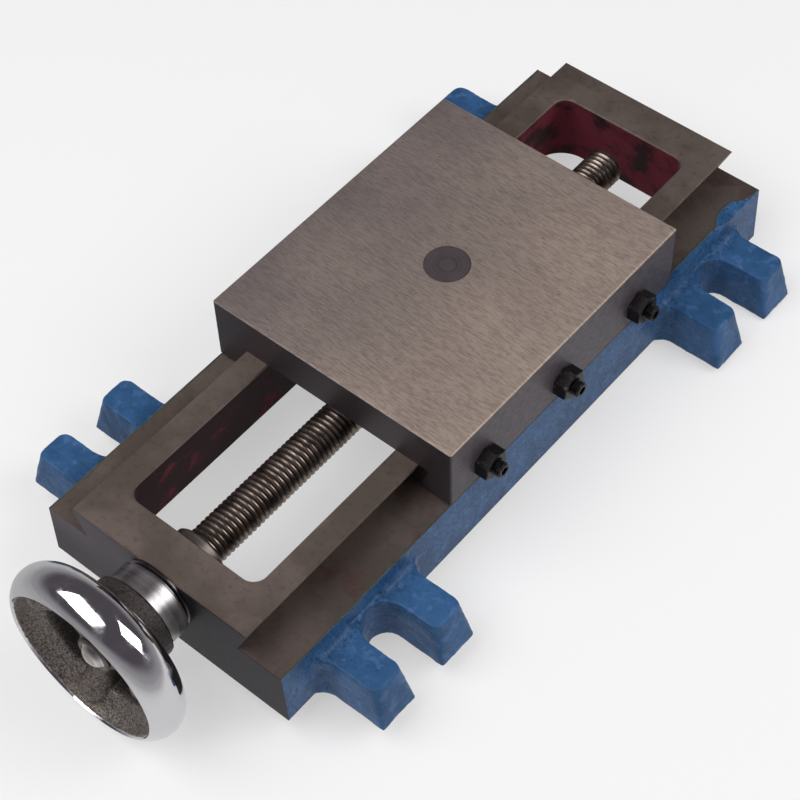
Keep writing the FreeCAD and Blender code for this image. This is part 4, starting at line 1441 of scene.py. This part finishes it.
@dataclass(frozen=True)
class SoftBox:
    """A rectangular studio lamp that looks at a point.

    Attributes:
        name: The lamp's name.
        azimuth: Degrees round from the -Y side towards +X.
        elevation: Degrees above the table.
        distance: Metres from the point.
        width: Size across.
        height: Size up.
        power: Watts.
    """

    name: str
    azimuth: float
    elevation: float
    distance: float
    width: float
    height: float
    power: float

    def light(self, target: Vector) -> None:
        """Hang the lamp so that it faces target."""
        way = outwards(self.azimuth, self.elevation)
        data = bpy.data.lights.new(self.name, "AREA")
        data.shape = "RECTANGLE"
        data.size = self.width
        data.size_y = self.height
        data.energy = self.power
        lamp = linked(self.name, data)
        lamp.location = target + way * self.distance
        lamp.rotation_mode = "QUATERNION"
        lamp.rotation_quaternion = (-way).to_track_quat("-Z", "Y")


@dataclass(frozen=True)
class Studio:
    """Floor, lamps, surroundings and the camera at the photograph's angle."""

    wheel_foot: float = 0.1 * MM
    sheet_half: float = 3.0
    ambient: Colour = (0.30, 0.29, 0.31)
    backdrop: float = 0.885
    horizon: Colour = (0.33, 0.32, 0.34)
    ceiling: Colour = (0.085, 0.076, 0.088)
    ceiling_from: float = 0.40
    camera_place: Triple = (0.2739, -0.3227, 0.5470)
    camera_azimuth: float = 41.53
    camera_elevation: float = 52.74
    camera_roll: float = -2.19
    clip_start: float = 0.01
    focal_pixels: float = 1991.2
    frame_pixels: float = 800.0
    sensor: float = 36.0
    lamps: tuple[SoftBox, ...] = (
        SoftBox("front_left_box", -30.0, 58.0, 1.1, 0.95, 0.80, 8.3),
        SoftBox("right_rear_box", 116.0, 46.0, 1.2, 0.70, 0.70, 7.2),
    )

    def floor(self) -> None:
        """Lay the sheet that the wheel's rim and the base's rear bottom edge rest on."""
        wheel_low, wheel_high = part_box("handwheel")
        base_low, base_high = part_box("base_casting")
        foot_y = (wheel_low.y + wheel_high.y) / 2
        drop = wheel_low.z - self.wheel_foot
        slope = (base_low.z - drop) / (base_high.y - foot_y)
        half = self.sheet_half
        corners = [(x, y, base_low.z + (y - base_high.y) * slope)
                   for x, y in ((-half, -half), (half, -half), (half, half), (-half, half))]
        mesh = bpy.data.meshes.new("floor")
        mesh.from_pydata(corners, [], [(0, 1, 2, 3)])
        mesh.materials.append(SheetFinish(self.backdrop).build())
        linked("floor", mesh)

    def surroundings(self) -> None:
        """Pale backdrop for the eye, a dim room for metal above the horizon, and a little fill light."""
        world = bpy.data.worlds.new("studio")
        world.use_nodes = True
        bpy.context.scene.world = world
        nodes = Nodes(world.node_tree, "Generated")
        rise = nodes.step(nodes.axes()[2], 0.0, self.ceiling_from)
        fill, room, pale = (nodes.shine("ShaderNodeBackground", colour) for colour in (
            self.ambient, nodes.mix(rise, self.horizon, self.ceiling), (self.backdrop,) * 3))
        camera, mirrored = nodes.rays()
        surface = nodes.blend(camera, nodes.blend(mirrored, fill, room), pale)
        nodes.wire(surface, nodes.add("ShaderNodeOutputWorld").inputs["Surface"])

    def camera(self) -> None:
        """Stand the camera where the photograph was taken from."""
        turn, roll = math.radians(self.camera_azimuth), math.radians(self.camera_roll)
        back = outwards(self.camera_azimuth, self.camera_elevation)
        right = Vector((math.cos(turn), math.sin(turn), 0.0))
        up = back.cross(right)
        rolled_right = right * math.cos(roll) + up * math.sin(roll)
        rolled_up = up * math.cos(roll) - right * math.sin(roll)
        data = bpy.data.cameras.new("camera")
        data.sensor_width = self.sensor
        data.lens = self.focal_pixels / self.frame_pixels * self.sensor
        data.clip_start = self.clip_start
        eye = linked("camera", data)
        turned = Matrix((rolled_right, rolled_up, back)).transposed().to_4x4()
        eye.matrix_world = Matrix.Translation(self.camera_place) @ turned
        bpy.context.scene.camera = eye

    def build(self) -> None:
        """Set up the whole studio."""
        bpy.context.scene.view_settings.view_transform = "Standard"
        self.floor()
        self.surroundings()
        low, high = CAD_BOX
        for lamp in self.lamps:
            lamp.light((low + high) / 2)
        self.camera()


def main() -> None:
    """Build every sub-assembly and the studio."""
    logging.basicConfig(level=logging.INFO, format="%(name)s: %(message)s")
    for assembly in (BaseAssembly(), TableAssembly(), ScrewAssembly(), Handwheel(), Studio()):
        assembly.build()
        log.info("finished %s", type(assembly).__name__)


if __name__ == "__main__":
    main()
